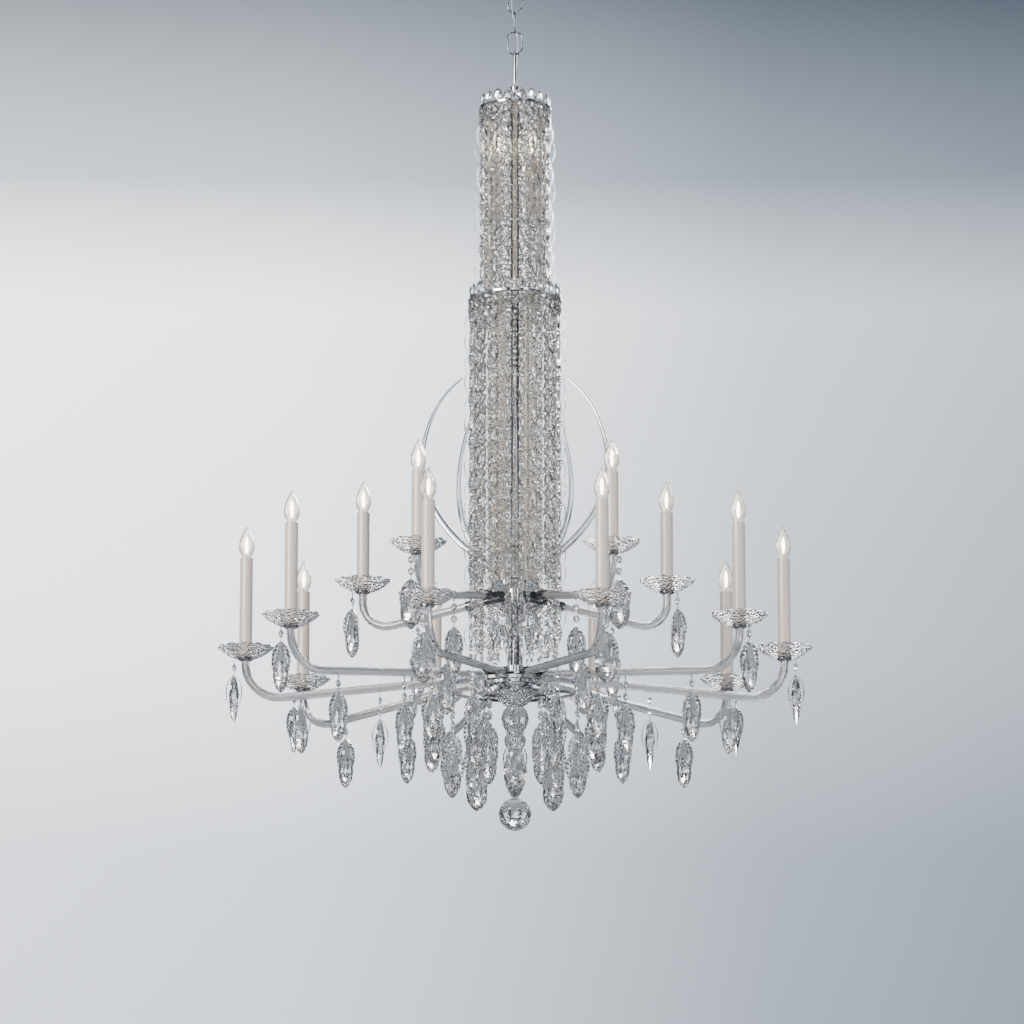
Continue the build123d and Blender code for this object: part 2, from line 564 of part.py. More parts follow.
ENVELOPE_WALL = 1.0
with BuildPart() as bulb_envelope:
    with BuildSketch(Plane.XZ):
        with BuildLine():
            Line((0, -0.8), (BULB_NECK_R, -0.8))
            Spline((BULB_NECK_R, -0.8), (BULB_R * 0.86, 11.0), (BULB_R, 23.0), (BULB_R * 0.78, 38.0),
                   (BULB_R * 0.36, 51.0), (0, BULB_HEIGHT), tangents=((0.3, 1), (-0.35, 1)))
            Line((0, BULB_HEIGHT), (0, -0.8))
        make_face()
    revolve(axis=Axis.Z)
    with BuildSketch(Plane.XZ):
        with BuildLine():
            Line((0, -0.8 + ENVELOPE_WALL), (BULB_NECK_R - ENVELOPE_WALL, -0.8 + ENVELOPE_WALL))
            Spline((BULB_NECK_R - ENVELOPE_WALL, -0.8 + ENVELOPE_WALL), (BULB_R * 0.86 - ENVELOPE_WALL, 12.0),
                   (BULB_R - ENVELOPE_WALL, 23.0), (BULB_R * 0.78 - ENVELOPE_WALL, 37.5), (BULB_R * 0.26, 51.0),
                   (0, BULB_HEIGHT - 3.0), tangents=((0.3, 1), (-0.35, 1)))
            Line((0, BULB_HEIGHT - 3.0), (0, -0.8 + ENVELOPE_WALL))
        make_face()
    revolve(axis=Axis.Z, mode=Mode.SUBTRACT)

with BuildPart() as bulb_filament:
    Cone(3.4, 1.3, 9.0, align=(Align.CENTER, Align.CENTER, Align.MIN))
    with Locations((0, 0, 6.0)):
        Cylinder(0.9, 32.0, align=(Align.CENTER, Align.CENTER, Align.MIN))
    with Locations((0, 0, 12.0), (0, 0, 35.0)):
        Cylinder(3.8, 1.0)
    with PolarLocations(2.8, 4):
        with Locations((0, 0, 12.0)):
            Cylinder(0.6, 23.0, align=(Align.CENTER, Align.CENTER, Align.MIN))
filament_lift = Location((0, 0, 0.4))

dishes, cups, stalks, sleeves, bases, envelopes, filaments = [], [], [], [], [], [], []
for reach, z_dish, sleeve, angles in ((UPPER_REACH, Z_UPPER_DISH, UPPER_SLEEVE, UPPER_ANGLES),
                                      (LOWER_REACH, Z_LOWER_DISH, LOWER_SLEEVE, LOWER_ANGLES)):
    places = [at_angle(angle, reach, z_dish) for angle in angles]
    dishes += copies(bobeche.part, places)
    cups += copies(candle_cup.part, places)
    stalks += copies(candle_socket(sleeve), places)
    sleeves += copies(candle_sleeve(sleeve), places)
    tops = [place * Location((0, 0, DISH_WALL + sleeve)) for place in places]
    bases += copies(bulb_base.part, tops)
    envelopes += copies(bulb_envelope.part, tops)
    filaments += copies(bulb_filament.part, [top * filament_lift for top in tops])

# two more candles stand inside the column on a bracket on the stem
inner_places = [Location((side * INNER_CANDLE_R, 0, Z_INNER_BRACKET)) for side in (-1, 1)]
with BuildPart() as inner_bracket:
    with BuildSketch(Plane.XY.offset(Z_INNER_BRACKET)):
        SlotOverall(2 * INNER_CANDLE_R + 26.0, 26.0)
        Circle(STEM_R + SLIDE, mode=Mode.SUBTRACT)
        with GridLocations(2 * INNER_CANDLE_R, 0, 2, 1):
            Circle(CORE_BORE_R, mode=Mode.SUBTRACT)
    extrude(amount=3.0)
save("inner_bracket", inner_bracket.part)
stalks += copies(candle_socket(INNER_SLEEVE), [p * Location((0, 0, -2.8)) for p in inner_places])
sleeves += copies(candle_sleeve(INNER_SLEEVE), [p * Location((0, 0, 0.2)) for p in inner_places])
inner_tops = [p * Location((0, 0, DISH_WALL + INNER_SLEEVE)) for p in inner_places]
bases += copies(bulb_base.part, inner_tops)
envelopes += copies(bulb_envelope.part, inner_tops)
filaments += copies(bulb_filament.part, [top * filament_lift for top in inner_tops])

save_group("bobeches", dishes)
save_group("candle_cups", cups)
save_group("candle_sockets", stalks)
save_group("candle_sleeves", sleeves)
save_group("bulb_bases", bases)
save_group("bulb_envelopes", envelopes)
save_group("bulb_filaments", filaments)

# ---------------------------------------------------------------- hanging crystals


def crystal(sections: list, sides: int, flatness: float) -> Part:
    """A faceted drop hanging down from z 0. sections are (depth, half width); its thin way is along X."""
    with BuildPart() as piece:
        for depth, half_width in sections:
            corners = []
            for k in range(sides):
                turn = 2 * math.pi * (k + 0.5) / sides
                corners.append((flatness * half_width * math.cos(turn), half_width * math.sin(turn)))
            with BuildSketch(Plane.XY.offset(-depth)):
                Polygon(*corners, align=None)
        loft(ruled=True)
    return piece.part


SPEAR_LENGTH, TEAR_LENGTH, LARGE_LENGTH, BUD_LENGTH = 92.0, 90.0, 89.0, 48.0
spear = crystal([(0, 1.4), (14, 6.2), (36, 9.6), (56, 9.0), (76, 5.0), (SPEAR_LENGTH, 0.5)], 6, 1.0)
teardrop = crystal([(0, 1.4), (14, 6.5), (34, 12.0), (58, 15.5), (74, 13.5), (85, 8.0), (TEAR_LENGTH, 2.5)], 8, 0.85)
large_drop = crystal([(0, 1.6), (15, 8.5), (36, 17.5), (56, 22.0), (73, 19.0), (84, 10.0), (LARGE_LENGTH, 3.0)],
                     8, 0.7)
bud = crystal([(0, 1.2), (10, 5.5), (24, 8.6), (38, 5.2), (BUD_LENGTH, 0.5)], 6, 0.8)

with BuildPart() as octagon:
    for offset, scale in ((-OCTAGON_THICK / 2, 0.5), (-0.6, 1.0), (0.6, 1.0), (OCTAGON_THICK / 2, 0.5)):
        with BuildSketch(Plane.YZ.offset(offset)):
            RegularPolygon(OCTAGON / 2 * scale, 8, major_radius=False, rotation=22.5)
    loft(ruled=True)
pin = rod(PIN_R, PIN_LENGTH)
END_GAP = 0.15             # a pin's end stops this far short of the crystal


def hanging_drop(body: Part, octagons: int) -> tuple:
    """A pin, then octagons and pins in turn, then the crystal body, hanging from z 0.

    Returns the crystals and the pins as two lists of solids.
    """
    depth = PIN_LENGTH
    pins, beads = [pin], []
    for _ in range(octagons):
        beads.append(octagon.part.moved(Location((0, 0, -depth - END_GAP - OCTAGON / 2))))
        depth += OCTAGON + 2 * END_GAP
        pins.append(pin.moved(Location((0, 0, -depth))))
        depth += PIN_LENGTH
    return beads, pins, body.moved(Location((0, 0, -depth - END_GAP)))


DROP_KINDS = {"spear": hanging_drop(spear, 1), "tear": hanging_drop(teardrop, 1),
              "large": hanging_drop(large_drop, 2)}
upper_kinds = {36: "large", 108: "tear", 180: "tear", 252: "tear", 324: "large"}
lower_kinds = {18: "large", 54: "tear", 90: "spear", 126: "spear", 162: "tear",
               198: "tear", 234: "spear", 270: "spear", 306: "tear", 342: "large"}
for tier, reach, z_dish, kinds in (("upper", UPPER_REACH, Z_UPPER_DISH, upper_kinds),
                                   ("lower", LOWER_REACH, Z_LOWER_DISH, lower_kinds)):
    for number, (angle, kind) in enumerate(sorted(kinds.items()), start=1):
        beads, pins, body = DROP_KINDS[kind]
        place = at_angle(angle, reach + DISH_DROP_OFFSET, z_dish - 1.2)
        save_group(f"drop_{tier}_{number:02d}", copies(Compound(children=[*beads, *pins, body]), [place]))


def arm_underside(z_hub: float, reach: float, dip: float, radius: float) -> float:
    """The height of an arm's underside at a distance from the stem, on its straight run."""
    return z_hub - dip * (radius - HUB_R) / (reach - HUB_R) - ARM_R - 0.5


arm_bodies, hub_bodies, beads_all, pins_all = [], [], [], []


def hang(body: Part, octagons: int, place: Location, bodies: list) -> None:
    """Adds one fixed drop at a place to the groups."""
    beads, pins, crystal_body = hanging_drop(body, octagons)
    beads_all.extend(copies(bead, [place])[0] for bead in beads)
    pins_all.extend(copies(wire, [place])[0] for wire in pins)
    bodies.append(crystal_body.moved(place))


OUTER_HOOK_R, MIDDLE_HOOK_R, INNER_HOOK_R = 382.0, 241.0, 180.0
side_pattern = ((OUTER_HOOK_R, teardrop, 0), (MIDDLE_HOOK_R, spear, 2), (INNER_HOOK_R, bud, 0))
front_pattern = ((OUTER_HOOK_R, teardrop, 1), (MIDDLE_HOOK_R, teardrop, 2), (INNER_HOOK_R, large_drop, 1))
for angle in LOWER_ANGLES:
    folded = min(angle, 360 - angle)
    for radius, body, octagons in (front_pattern if folded in (54, 126) else side_pattern):
        z_hook = arm_underside(Z_LOWER_HUB, LOWER_REACH, LOWER_DIP, radius)
        hang(body, octagons, at_angle(angle, radius, z_hook), arm_bodies)
UPPER_HOOK_R = 184.0
for angle in UPPER_ANGLES:
    z_hook = arm_underside(Z_UPPER_HUB, UPPER_REACH, UPPER_DIP, UPPER_HOOK_R)
    hang(teardrop, 2, at_angle(angle, UPPER_HOOK_R, z_hook), arm_bodies)

Z_RING_HOOK = Z_DROP_RING - RING_WIRE_R - 0.5
BUD_HOOK_R = 40.0
for angle in HORN_ANGLES:
    hang(large_drop, 5, at_angle(angle, OUTER_DROP_RING_R, Z_RING_HOOK), hub_bodies)
    hang(teardrop, 2, at_angle(angle, INNER_DROP_RING_R, Z_RING_HOOK), hub_bodies)
    hang(bud, 0, at_angle(angle, BUD_HOOK_R, Z_UPPER_DISH_RIM - 18.5), hub_bodies)
for angle in UPPER_ANGLES:
    hang(teardrop, 3, at_angle(angle, OUTER_DROP_RING_R, Z_RING_HOOK), hub_bodies)
    hang(teardrop, 4, at_angle(angle, INNER_DROP_RING_R, Z_RING_HOOK), hub_bodies)
save_group("arm_crystals", arm_bodies)
save_group("hub_crystals", hub_bodies)
save_group("octagon_links", beads_all)
save_group("pin_wires", pins_all)

# ---------------------------------------------------------------- finial
Z_FINIAL = Z_BOWL_RIM - 28.0 - GAP
with BuildPart() as finial_rod:
    with BuildSketch(Plane.XY.offset(Z_LOWER_HUB - HUB_HEIGHT / 2 + HUB_WALL)):
        Circle(FINIAL_ROD_R)
    extrude(amount=Z_BALL_TOP + 1.0 - (Z_LOWER_HUB - HUB_HEIGHT / 2 + HUB_WALL))
save("finial_rod", finial_rod.part)


def turned_glass(profile: list, z_top: float) -> Part:
    """A turned glass body on the finial rod. profile is (depth below its top, radius)."""
    with BuildPart() as piece:
        with BuildSketch(Plane.XZ):
            with BuildLine():
                Spline(*[(radius, z_top - depth) for depth, radius in profile])
                Polyline((profile[-1][1], z_top - profile[-1][0]), (FINIAL_ROD_R + 0.2, z_top - profile[-1][0]),
                         (FINIAL_ROD_R + 0.2, z_top - profile[0][0]), (profile[0][1], z_top - profile[0][0]))
            make_face()
        revolve(axis=Axis.Z)
    return piece.part


finial_vase = turned_glass([(0, 16), (8, 22), (22, 25.5), (38, 20), (48, 11)], Z_FINIAL)
finial_knop = turned_glass([(0, 12), (5, 18), (13, 20), (21, 18), (26, 12)], Z_FINIAL - 48.4)
finial_spindle = turned_glass([(0, 7), (24, 13), (52, 19), (72, 15), (88, 7)], Z_FINIAL - 74.8)
save_group("finial_glass", [finial_vase, finial_knop, finial_spindle])

with BuildPart() as finial_ball:
    with Locations((0, 0, Z_BALL_TOP - BALL_R)):
        Sphere(BALL_R)
    with Locations((0, 0, Z_BALL_TOP)):
        Cylinder(FINIAL_ROD_R + 1.0, 3.0, mode=Mode.SUBTRACT)
save("finial_ball", finial_ball.part)
print("finial: spindle ends", round(Z_FINIAL - 74.8 - 88, 1), "ball top", Z_BALL_TOP)
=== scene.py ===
"""A two tier crystal chandelier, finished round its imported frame.

The frame gives the metal, the candles and the places of everything that hangs. This script makes the cut
crystal, the fluted glass arms, the bead strands and the supply cord, dresses the metal and lights the studio.
Shapes are worked out in millimetres and become metres when a piece is finished.
"""
import json
import logging
import math
from dataclasses import dataclass
from enum import Enum

import bmesh
import bpy
from mathutils import Matrix, Vector


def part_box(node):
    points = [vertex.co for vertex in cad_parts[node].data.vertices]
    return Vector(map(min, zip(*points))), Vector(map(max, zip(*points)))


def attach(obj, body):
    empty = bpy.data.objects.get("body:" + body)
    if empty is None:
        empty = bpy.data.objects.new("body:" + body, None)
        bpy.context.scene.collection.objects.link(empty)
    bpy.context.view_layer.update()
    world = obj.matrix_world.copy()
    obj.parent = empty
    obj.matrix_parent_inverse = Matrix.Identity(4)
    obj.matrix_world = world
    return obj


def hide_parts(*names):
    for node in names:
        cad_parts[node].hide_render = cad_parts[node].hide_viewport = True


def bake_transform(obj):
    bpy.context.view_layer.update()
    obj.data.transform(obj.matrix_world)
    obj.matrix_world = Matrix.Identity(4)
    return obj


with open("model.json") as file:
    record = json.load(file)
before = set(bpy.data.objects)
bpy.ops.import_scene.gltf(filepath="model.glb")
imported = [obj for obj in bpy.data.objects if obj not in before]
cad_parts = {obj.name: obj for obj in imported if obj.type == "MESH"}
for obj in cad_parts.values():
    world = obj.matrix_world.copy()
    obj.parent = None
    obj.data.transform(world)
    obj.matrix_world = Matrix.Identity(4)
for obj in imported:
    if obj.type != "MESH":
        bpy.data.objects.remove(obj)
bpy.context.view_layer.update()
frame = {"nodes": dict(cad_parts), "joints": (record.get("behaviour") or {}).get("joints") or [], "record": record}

log = logging.getLogger("chandelier")
MM = 0.001
FIXTURE = "fixture"


# ---------------------------------------------------------------- small tools
def srgb(colour: str) -> tuple[float, float, float, float]:
    """Turns an sRGB hex colour into linear light.

    Args:
        colour: six hex digits, such as "c8c8c8".

    Returns:
        Linear red, green and blue, and an alpha of 1.
    """
    parts = [int(colour[i:i + 2], 16) / 255 for i in (0, 2, 4)]
    linear = [p / 12.92 if p <= 0.04045 else ((p + 0.055) / 1.055) ** 2.4 for p in parts]
    return (*linear, 1.0)


def add_node(tree: bpy.types.NodeTree, kind: str, settings: dict | None = None,
             links: dict | None = None) -> bpy.types.Node:
    """Adds a node to a tree.

    Args:
        tree: the node tree.
        kind: Blender's name for the node.
        settings: values for its sockets or, where no socket has that name, its properties.
        links: the output sockets that feed its inputs.

    Returns:
        The new node.
    """
    node = tree.nodes.new(kind)
    for name, value in (settings or {}).items():
        if name in node.inputs:
            node.inputs[name].default_value = value
        else:
            setattr(node, name, value)
    for name, source in (links or {}).items():
        tree.links.new(source, node.inputs[name])
    return node


def at_angle(degrees: float, radius: float, height: float) -> Matrix:
    """A place on a circle round the stem. Its +X points outwards, and the angle is counted from the front."""
    return Matrix.Rotation(math.radians(degrees - 90), 4, "Z") @ Matrix.Translation((radius, 0, height))


def as_pattern(bm: bmesh.types.BMesh, name: str) -> bpy.types.Mesh:
    """Stores a shape as a mesh that can be stamped many times."""
    mesh = bpy.data.meshes.new(name)
    bm.to_mesh(mesh)
    bm.free()
    return mesh


def stamp(bm: bmesh.types.BMesh, pattern: bpy.types.Mesh, place: Matrix, slot: int = 0) -> None:
    """Adds a copy of a pattern to a piece.

    Args:
        bm: the piece that grows.
        pattern: the shape to copy.
        place: where it goes, in millimetres.
        slot: the finish that its faces take, on top of the pattern's own count.
    """
    first_vert, first_face = len(bm.verts), len(bm.faces)
    bm.from_mesh(pattern)
    bm.verts.ensure_lookup_table()
    bm.faces.ensure_lookup_table()
    bmesh.ops.transform(bm, matrix=place, verts=bm.verts[first_vert:])
    for face in bm.faces[first_face:]:
        face.material_index += slot


def edges_within(parts: list, corners: set[bmesh.types.BMVert]) -> list[bmesh.types.BMEdge]:
    """The edges among some parts whose two ends are among some corners."""
    return [part for part in parts if isinstance(part, bmesh.types.BMEdge) and corners.issuperset(part.verts)]


def cut_stack(stations: list[tuple[float, float]], sides: int, flatness: float = 1.0) -> bmesh.types.BMesh:
    """A cut crystal that hangs down from 0. Each ring of corners is turned half a side from the last.

    Args:
        stations: depth and half width of each ring of corners.
        sides: corners in a ring.
        flatness: how thick it is along X, as a share of its width.

    Returns:
        A closed shape of flat triangular cuts.
    """
    bm = bmesh.new()
    depth, half = stations[0]
    ring = bmesh.ops.create_circle(bm, cap_ends=True, segments=sides, radius=half)["verts"]
    bmesh.ops.translate(bm, verts=ring, vec=(0, 0, -depth))
    edges = list(bm.edges)
    for (depth, half), (next_depth, next_half) in zip(stations, stations[1:]):
        grown = bmesh.ops.extrude_edge_only(bm, edges=edges)["geom"]
        ring = [part for part in grown if isinstance(part, bmesh.types.BMVert)]
        corners = set(ring)
        edges = edges_within(grown, corners)
        bmesh.ops.translate(bm, verts=ring, vec=(0, 0, depth - next_depth))
        bmesh.ops.scale(bm, verts=ring, vec=(next_half / half, next_half / half, 1))
        bmesh.ops.rotate(bm, verts=ring, cent=(0, 0, 0), matrix=Matrix.Rotation(math.pi / sides, 3, "Z"))
    bmesh.ops.edgeloop_fill(bm, edges=edges)
    bmesh.ops.scale(bm, verts=bm.verts, vec=(flatness, 1, 1))
    bmesh.ops.triangulate(bm, faces=bm.faces)
    bmesh.ops.recalc_face_normals(bm, faces=bm.faces)
    return bm


def turned(profile: list[tuple[float, float]], steps: int, lobes: int = 0, ripple: float = 0.0,
           lift: float = 0.0) -> bmesh.types.BMesh:
    """A turned shape, with a scalloped edge where lobes are asked for.

    Args:
        profile: radius and height of each corner, round the whole section, or from pole to pole.
        steps: sides in a full turn.
        lobes: scallops round the edge.
        ripple: how much the largest radius grows and shrinks, as a share.
        lift: how far the edge rises and falls, in millimetres.

    Returns:
        A closed shape.
    """
    bm = bmesh.new()
    verts = [bmesh.ops.create_vert(bm, co=(radius, 0, height))["vert"][0] for radius, height in profile]
    closing = [] if profile[0][0] == 0 else [(verts[-1], verts[0])]
    edges = [bm.edges.new(pair) for pair in list(zip(verts, verts[1:])) + closing]
    bmesh.ops.spin(bm, geom=verts + edges, cent=(0, 0, 0), axis=(0, 0, 1), angle=2 * math.pi, steps=steps,
                   use_merge=True)
    bmesh.ops.remove_doubles(bm, verts=bm.verts, dist=0.001)
    widest = max(radius for radius, _ in profile)
    if lobes:
        for vert in bm.verts:
            radius = math.hypot(vert.co.x, vert.co.y)
            wave = math.cos(lobes * math.atan2(vert.co.y, vert.co.x)) * (radius / widest) ** 3
            vert.co.x *= 1 + ripple * wave
            vert.co.y *= 1 + ripple * wave
            vert.co.z += lift * wave
    bmesh.ops.recalc_face_normals(bm, faces=bm.faces)
    return bm


def leaf(length: float, half_width: float, bow: float, thickness: float) -> bmesh.types.BMesh:
    """A thin glass leaf that hangs down from 0 and bows outwards along +X.

    Args:
        length: from its eye to its tip.
        half_width: half its greatest width.
        bow: how far its middle stands out.
        thickness: of the glass.

    Returns:
        A closed thin shape whose edge takes the finish two slots on, which paints that edge dark: painted shade
        for the dark outline of a glass edge.
    """
    bm = bmesh.new()
    bmesh.ops.create_grid(bm, x_segments=4, y_segments=9, size=0.5)
    for vert in bm.verts:
        along, across = 0.5 - vert.co.y, 2 * vert.co.x
        half = half_width * (0.12 + 0.88 * math.sin(math.pi * min(1.0, along ** 0.85)))
        vert.co = (0, across * half, -along * length)
    bmesh.ops.solidify(bm, geom=bm.faces[:], thickness=thickness)
    bmesh.ops.recalc_face_normals(bm, faces=bm.faces)
    for face in bm.faces:
        if abs(face.normal.x) < 0.5:
            face.material_index = 2
    for vert in bm.verts:
        along = min(1.0, max(0.0, -vert.co.z / length))
        vert.co.x += bow * math.sin(math.pi * along ** 0.75 * 0.88) - 0.25 * vert.co.y ** 2 / half_width
    return bm


def wire(length: float, radius: float, sides: int = 6) -> bmesh.types.BMesh:
    """A straight pin that hangs down from 0."""
    bm = bmesh.new()
    bmesh.ops.create_cone(bm, cap_ends=True, segments=sides, radius1=radius, radius2=radius, depth=length,
                          matrix=Matrix.Translation((0, 0, -length / 2)))
    return bm


def eye(radius: float, gauge: float) -> bmesh.types.BMesh:
    """A small wire eye round the X axis, centred on 0."""
    bm = bmesh.new()
    place = Matrix.Translation((0, radius, 0))
    section = bmesh.ops.create_circle(bm, segments=6, radius=gauge, matrix=place)["verts"]
    bmesh.ops.spin(bm, geom=section + bm.edges[:], cent=(0, 0, 0), axis=(1, 0, 0), angle=2 * math.pi,
                   steps=14, use_merge=True)
    bmesh.ops.recalc_face_normals(bm, faces=bm.faces)
    return bm


# ---------------------------------------------------------------- finishes
@dataclass(frozen=True)
class Finish:
    """What every finish has: a maker's name, a colour and how far it is from a mirror."""

    name: str
    colour: str
    roughness: float

    def build(self) -> bpy.types.Material:
        """Makes the material.

        Returns:
            A material whose pattern follows the object's own coordinates.
        """
        material = bpy.data.materials.new(self.name)
        material.use_nodes = True
        tree = material.node_tree
        tree.nodes.clear()
        shader = add_node(tree, "ShaderNodeBsdfPrincipled",
                          {"Roughness": self.roughness, "Base Color": srgb(self.colour)})
        add_node(tree, "ShaderNodeOutputMaterial", links={"Surface": shader.outputs["BSDF"]})
        place = add_node(tree, "ShaderNodeTexCoord").outputs["Object"]
        self.pattern(tree, shader, place)
        return material

    def pattern(self, tree: bpy.types.NodeTree, shader: bpy.types.Node, place: bpy.types.NodeSocket) -> None:
        """Adds the finish's own pattern. Each finish has its own."""
        raise NotImplementedError

    def tint(self, tree: bpy.types.NodeTree, shader: bpy.types.Node, fac: bpy.types.NodeSocket, low: float,
             high: float) -> None:
        """Varies the base colour between two shares of it, as a pattern goes from 0.3 to 0.7."""
        ramp = add_node(tree, "ShaderNodeValToRGB", links={"Fac": fac})
        for stop, (position, share) in zip(ramp.color_ramp.elements, ((0.3, low), (0.7, high))):
            stop.position = position
            stop.color = (*(min(1.0, channel * share) for channel in srgb(self.colour)[:3]), 1.0)
        tree.links.new(ramp.outputs["Color"], shader.inputs["Base Color"])


@dataclass(frozen=True)
class PlatedMetal(Finish):
    """Electroplated and buffed metal: a near mirror, with the faint cloudiness that buffing leaves."""

    haze_mm: float = 9.0
    haze: float = 0.08

    def pattern(self, tree: bpy.types.NodeTree, shader: bpy.types.Node, place: bpy.types.NodeSocket) -> None:
        """Cloudy roughness and a very fine orange peel."""
        shader.inputs["Metallic"].default_value = 1.0
        noise = add_node(tree, "ShaderNodeTexNoise", {"Scale": 1 / (self.haze_mm * MM), "Detail": 4.0},
                         {"Vector": place})
        rough = add_node(tree, "ShaderNodeMapRange",
                         {"To Min": self.roughness, "To Max": self.roughness + self.haze},
                         {"Value": noise.outputs["Fac"]})
        tree.links.new(rough.outputs["Result"], shader.inputs["Roughness"])
        self.tint(tree, shader, noise.outputs["Fac"], 0.93, 1.05)
        bump = add_node(tree, "ShaderNodeBump", {"Strength": 0.03, "Distance": 0.0003},
                        {"Height": noise.outputs["Fac"]})
        tree.links.new(bump.outputs["Normal"], shader.inputs["Normal"])


@dataclass(frozen=True)
class CutGlass(Finish):
    """Lead crystal: very clear, high index, with ground cuts that catch dark and light side by side."""

    cut_mm: float = 7.0
    cut_depth: float = 0.6
    ior: float = 1.56
    clarity: float = 1.0

    def pattern(self, tree: bpy.types.NodeTree, shader: bpy.types.Node, place: bpy.types.NodeSocket) -> None:
        """Cells of ground cuts, as bump, and a little grey where a cut is deep."""
        shader.inputs["Transmission Weight"].default_value = self.clarity
        shader.inputs["IOR"].default_value = self.ior
        cells = add_node(tree, "ShaderNodeTexVoronoi", {"Scale": 1 / (self.cut_mm * MM), "feature": "F1"},
                         {"Vector": place})
        self.tint(tree, shader, cells.outputs["Distance"], 1.0, 0.93)
        bump = add_node(tree, "ShaderNodeBump", {"Strength": self.cut_depth, "Distance": 0.0015},
                        {"Height": cells.outputs["Distance"]})
        tree.links.new(bump.outputs["Normal"], shader.inputs["Normal"])


@dataclass(frozen=True)
class DrawnGlass(Finish):
    """Drawn and fire polished soda glass: smooth, with slow waves and a few seed marks."""

    wave_mm: float = 24.0
    clarity: float = 1.0

    def pattern(self, tree: bpy.types.NodeTree, shader: bpy.types.Node, place: bpy.types.NodeSocket) -> None:
        """Slow waves in the surface and a faint change of tint."""
        shader.inputs["Transmission Weight"].default_value = self.clarity
        shader.inputs["IOR"].default_value = 1.5
        waves = add_node(tree, "ShaderNodeTexNoise", {"Scale": 1 / (self.wave_mm * MM), "Detail": 2.0},
                         {"Vector": place})
        self.tint(tree, shader, waves.outputs["Fac"], 0.96, 1.0)
        bump = add_node(tree, "ShaderNodeBump", {"Strength": 0.15, "Distance": 0.002},
                        {"Height": waves.outputs["Fac"]})
        tree.links.new(bump.outputs["Normal"], shader.inputs["Normal"])


@dataclass(frozen=True)
class PearlLacquer(Finish):
    """Sprayed pearl lacquer, wiped along the tube: satin, with upright streaks drawn 1.5 mm wide to show."""

    streak_mm: float = 1.5
    metallic: float = 0.45

    def pattern(self, tree: bpy.types.NodeTree, shader: bpy.types.Node, place: bpy.types.NodeSocket) -> None:
        """Upright streaks in colour and roughness."""
        shader.inputs["Metallic"].default_value = self.metallic
        shader.inputs["Coat Weight"].default_value = 0.2
        along = add_node(tree, "ShaderNodeMapping", {"Scale": (1.0, 1.0, 0.04)}, {"Vector": place})
        streaks = add_node(tree, "ShaderNodeTexNoise", {"Scale": 1 / (self.streak_mm * MM), "Detail": 3.0},
                           {"Vector": along.outputs["Vector"]})
        self.tint(tree, shader, streaks.outputs["Fac"], 0.9, 1.06)
        rough = add_node(tree, "ShaderNodeMapRange",
                         {"To Min": self.roughness - 0.06, "To Max": self.roughness + 0.1},
                         {"Value": streaks.outputs["Fac"]})
        tree.links.new(rough.outputs["Result"], shader.inputs["Roughness"])


@dataclass(frozen=True)
class Moulded(Finish):
    """Moulded plastic or a plain sleeve: even, with a fine grain."""

    grain_mm: float = 0.8
    clarity: float = 0.0

    def pattern(self, tree: bpy.types.NodeTree, shader: bpy.types.Node, place: bpy.types.NodeSocket) -> None:
        """Fine grain."""
        shader.inputs["Transmission Weight"].default_value = self.clarity
        grain = add_node(tree, "ShaderNodeTexNoise", {"Scale": 1 / (self.grain_mm * MM)}, {"Vector": place})
        self.tint(tree, shader, grain.outputs["Fac"], 0.92, 1.04)
        bump = add_node(tree, "ShaderNodeBump", {"Strength": 0.1, "Distance": 0.0002},
                        {"Height": grain.outputs["Fac"]})
        tree.links.new(bump.outputs["Normal"], shader.inputs["Normal"])


@dataclass(frozen=True)
class Glowing(Finish):
    """A lit part of a lamp: warm light, a little uneven along its length."""

    strength: float = 5.0
    clarity: float = 0.0

    def pattern(self, tree: bpy.types.NodeTree, shader: bpy.types.Node, place: bpy.types.NodeSocket) -> None:
        """Uneven warm emission."""
        shader.inputs["Transmission Weight"].default_value = self.clarity
        shader.inputs["IOR"].default_value = 1.45
        shader.inputs["Emission Strength"].default_value = self.strength
        noise = add_node(tree, "ShaderNodeTexNoise", {"Scale": 1 / (6.0 * MM)}, {"Vector": place})
        self.tint(tree, shader, noise.outputs["Fac"], 0.97, 1.0)
        ramp = add_node(tree, "ShaderNodeValToRGB", links={"Fac": noise.outputs["Fac"]})
        ramp.color_ramp.elements[0].color = srgb("ffdcae")
        ramp.color_ramp.elements[1].color = srgb("fff6e6")
        tree.links.new(ramp.outputs["Color"], shader.inputs["Emission Color"])


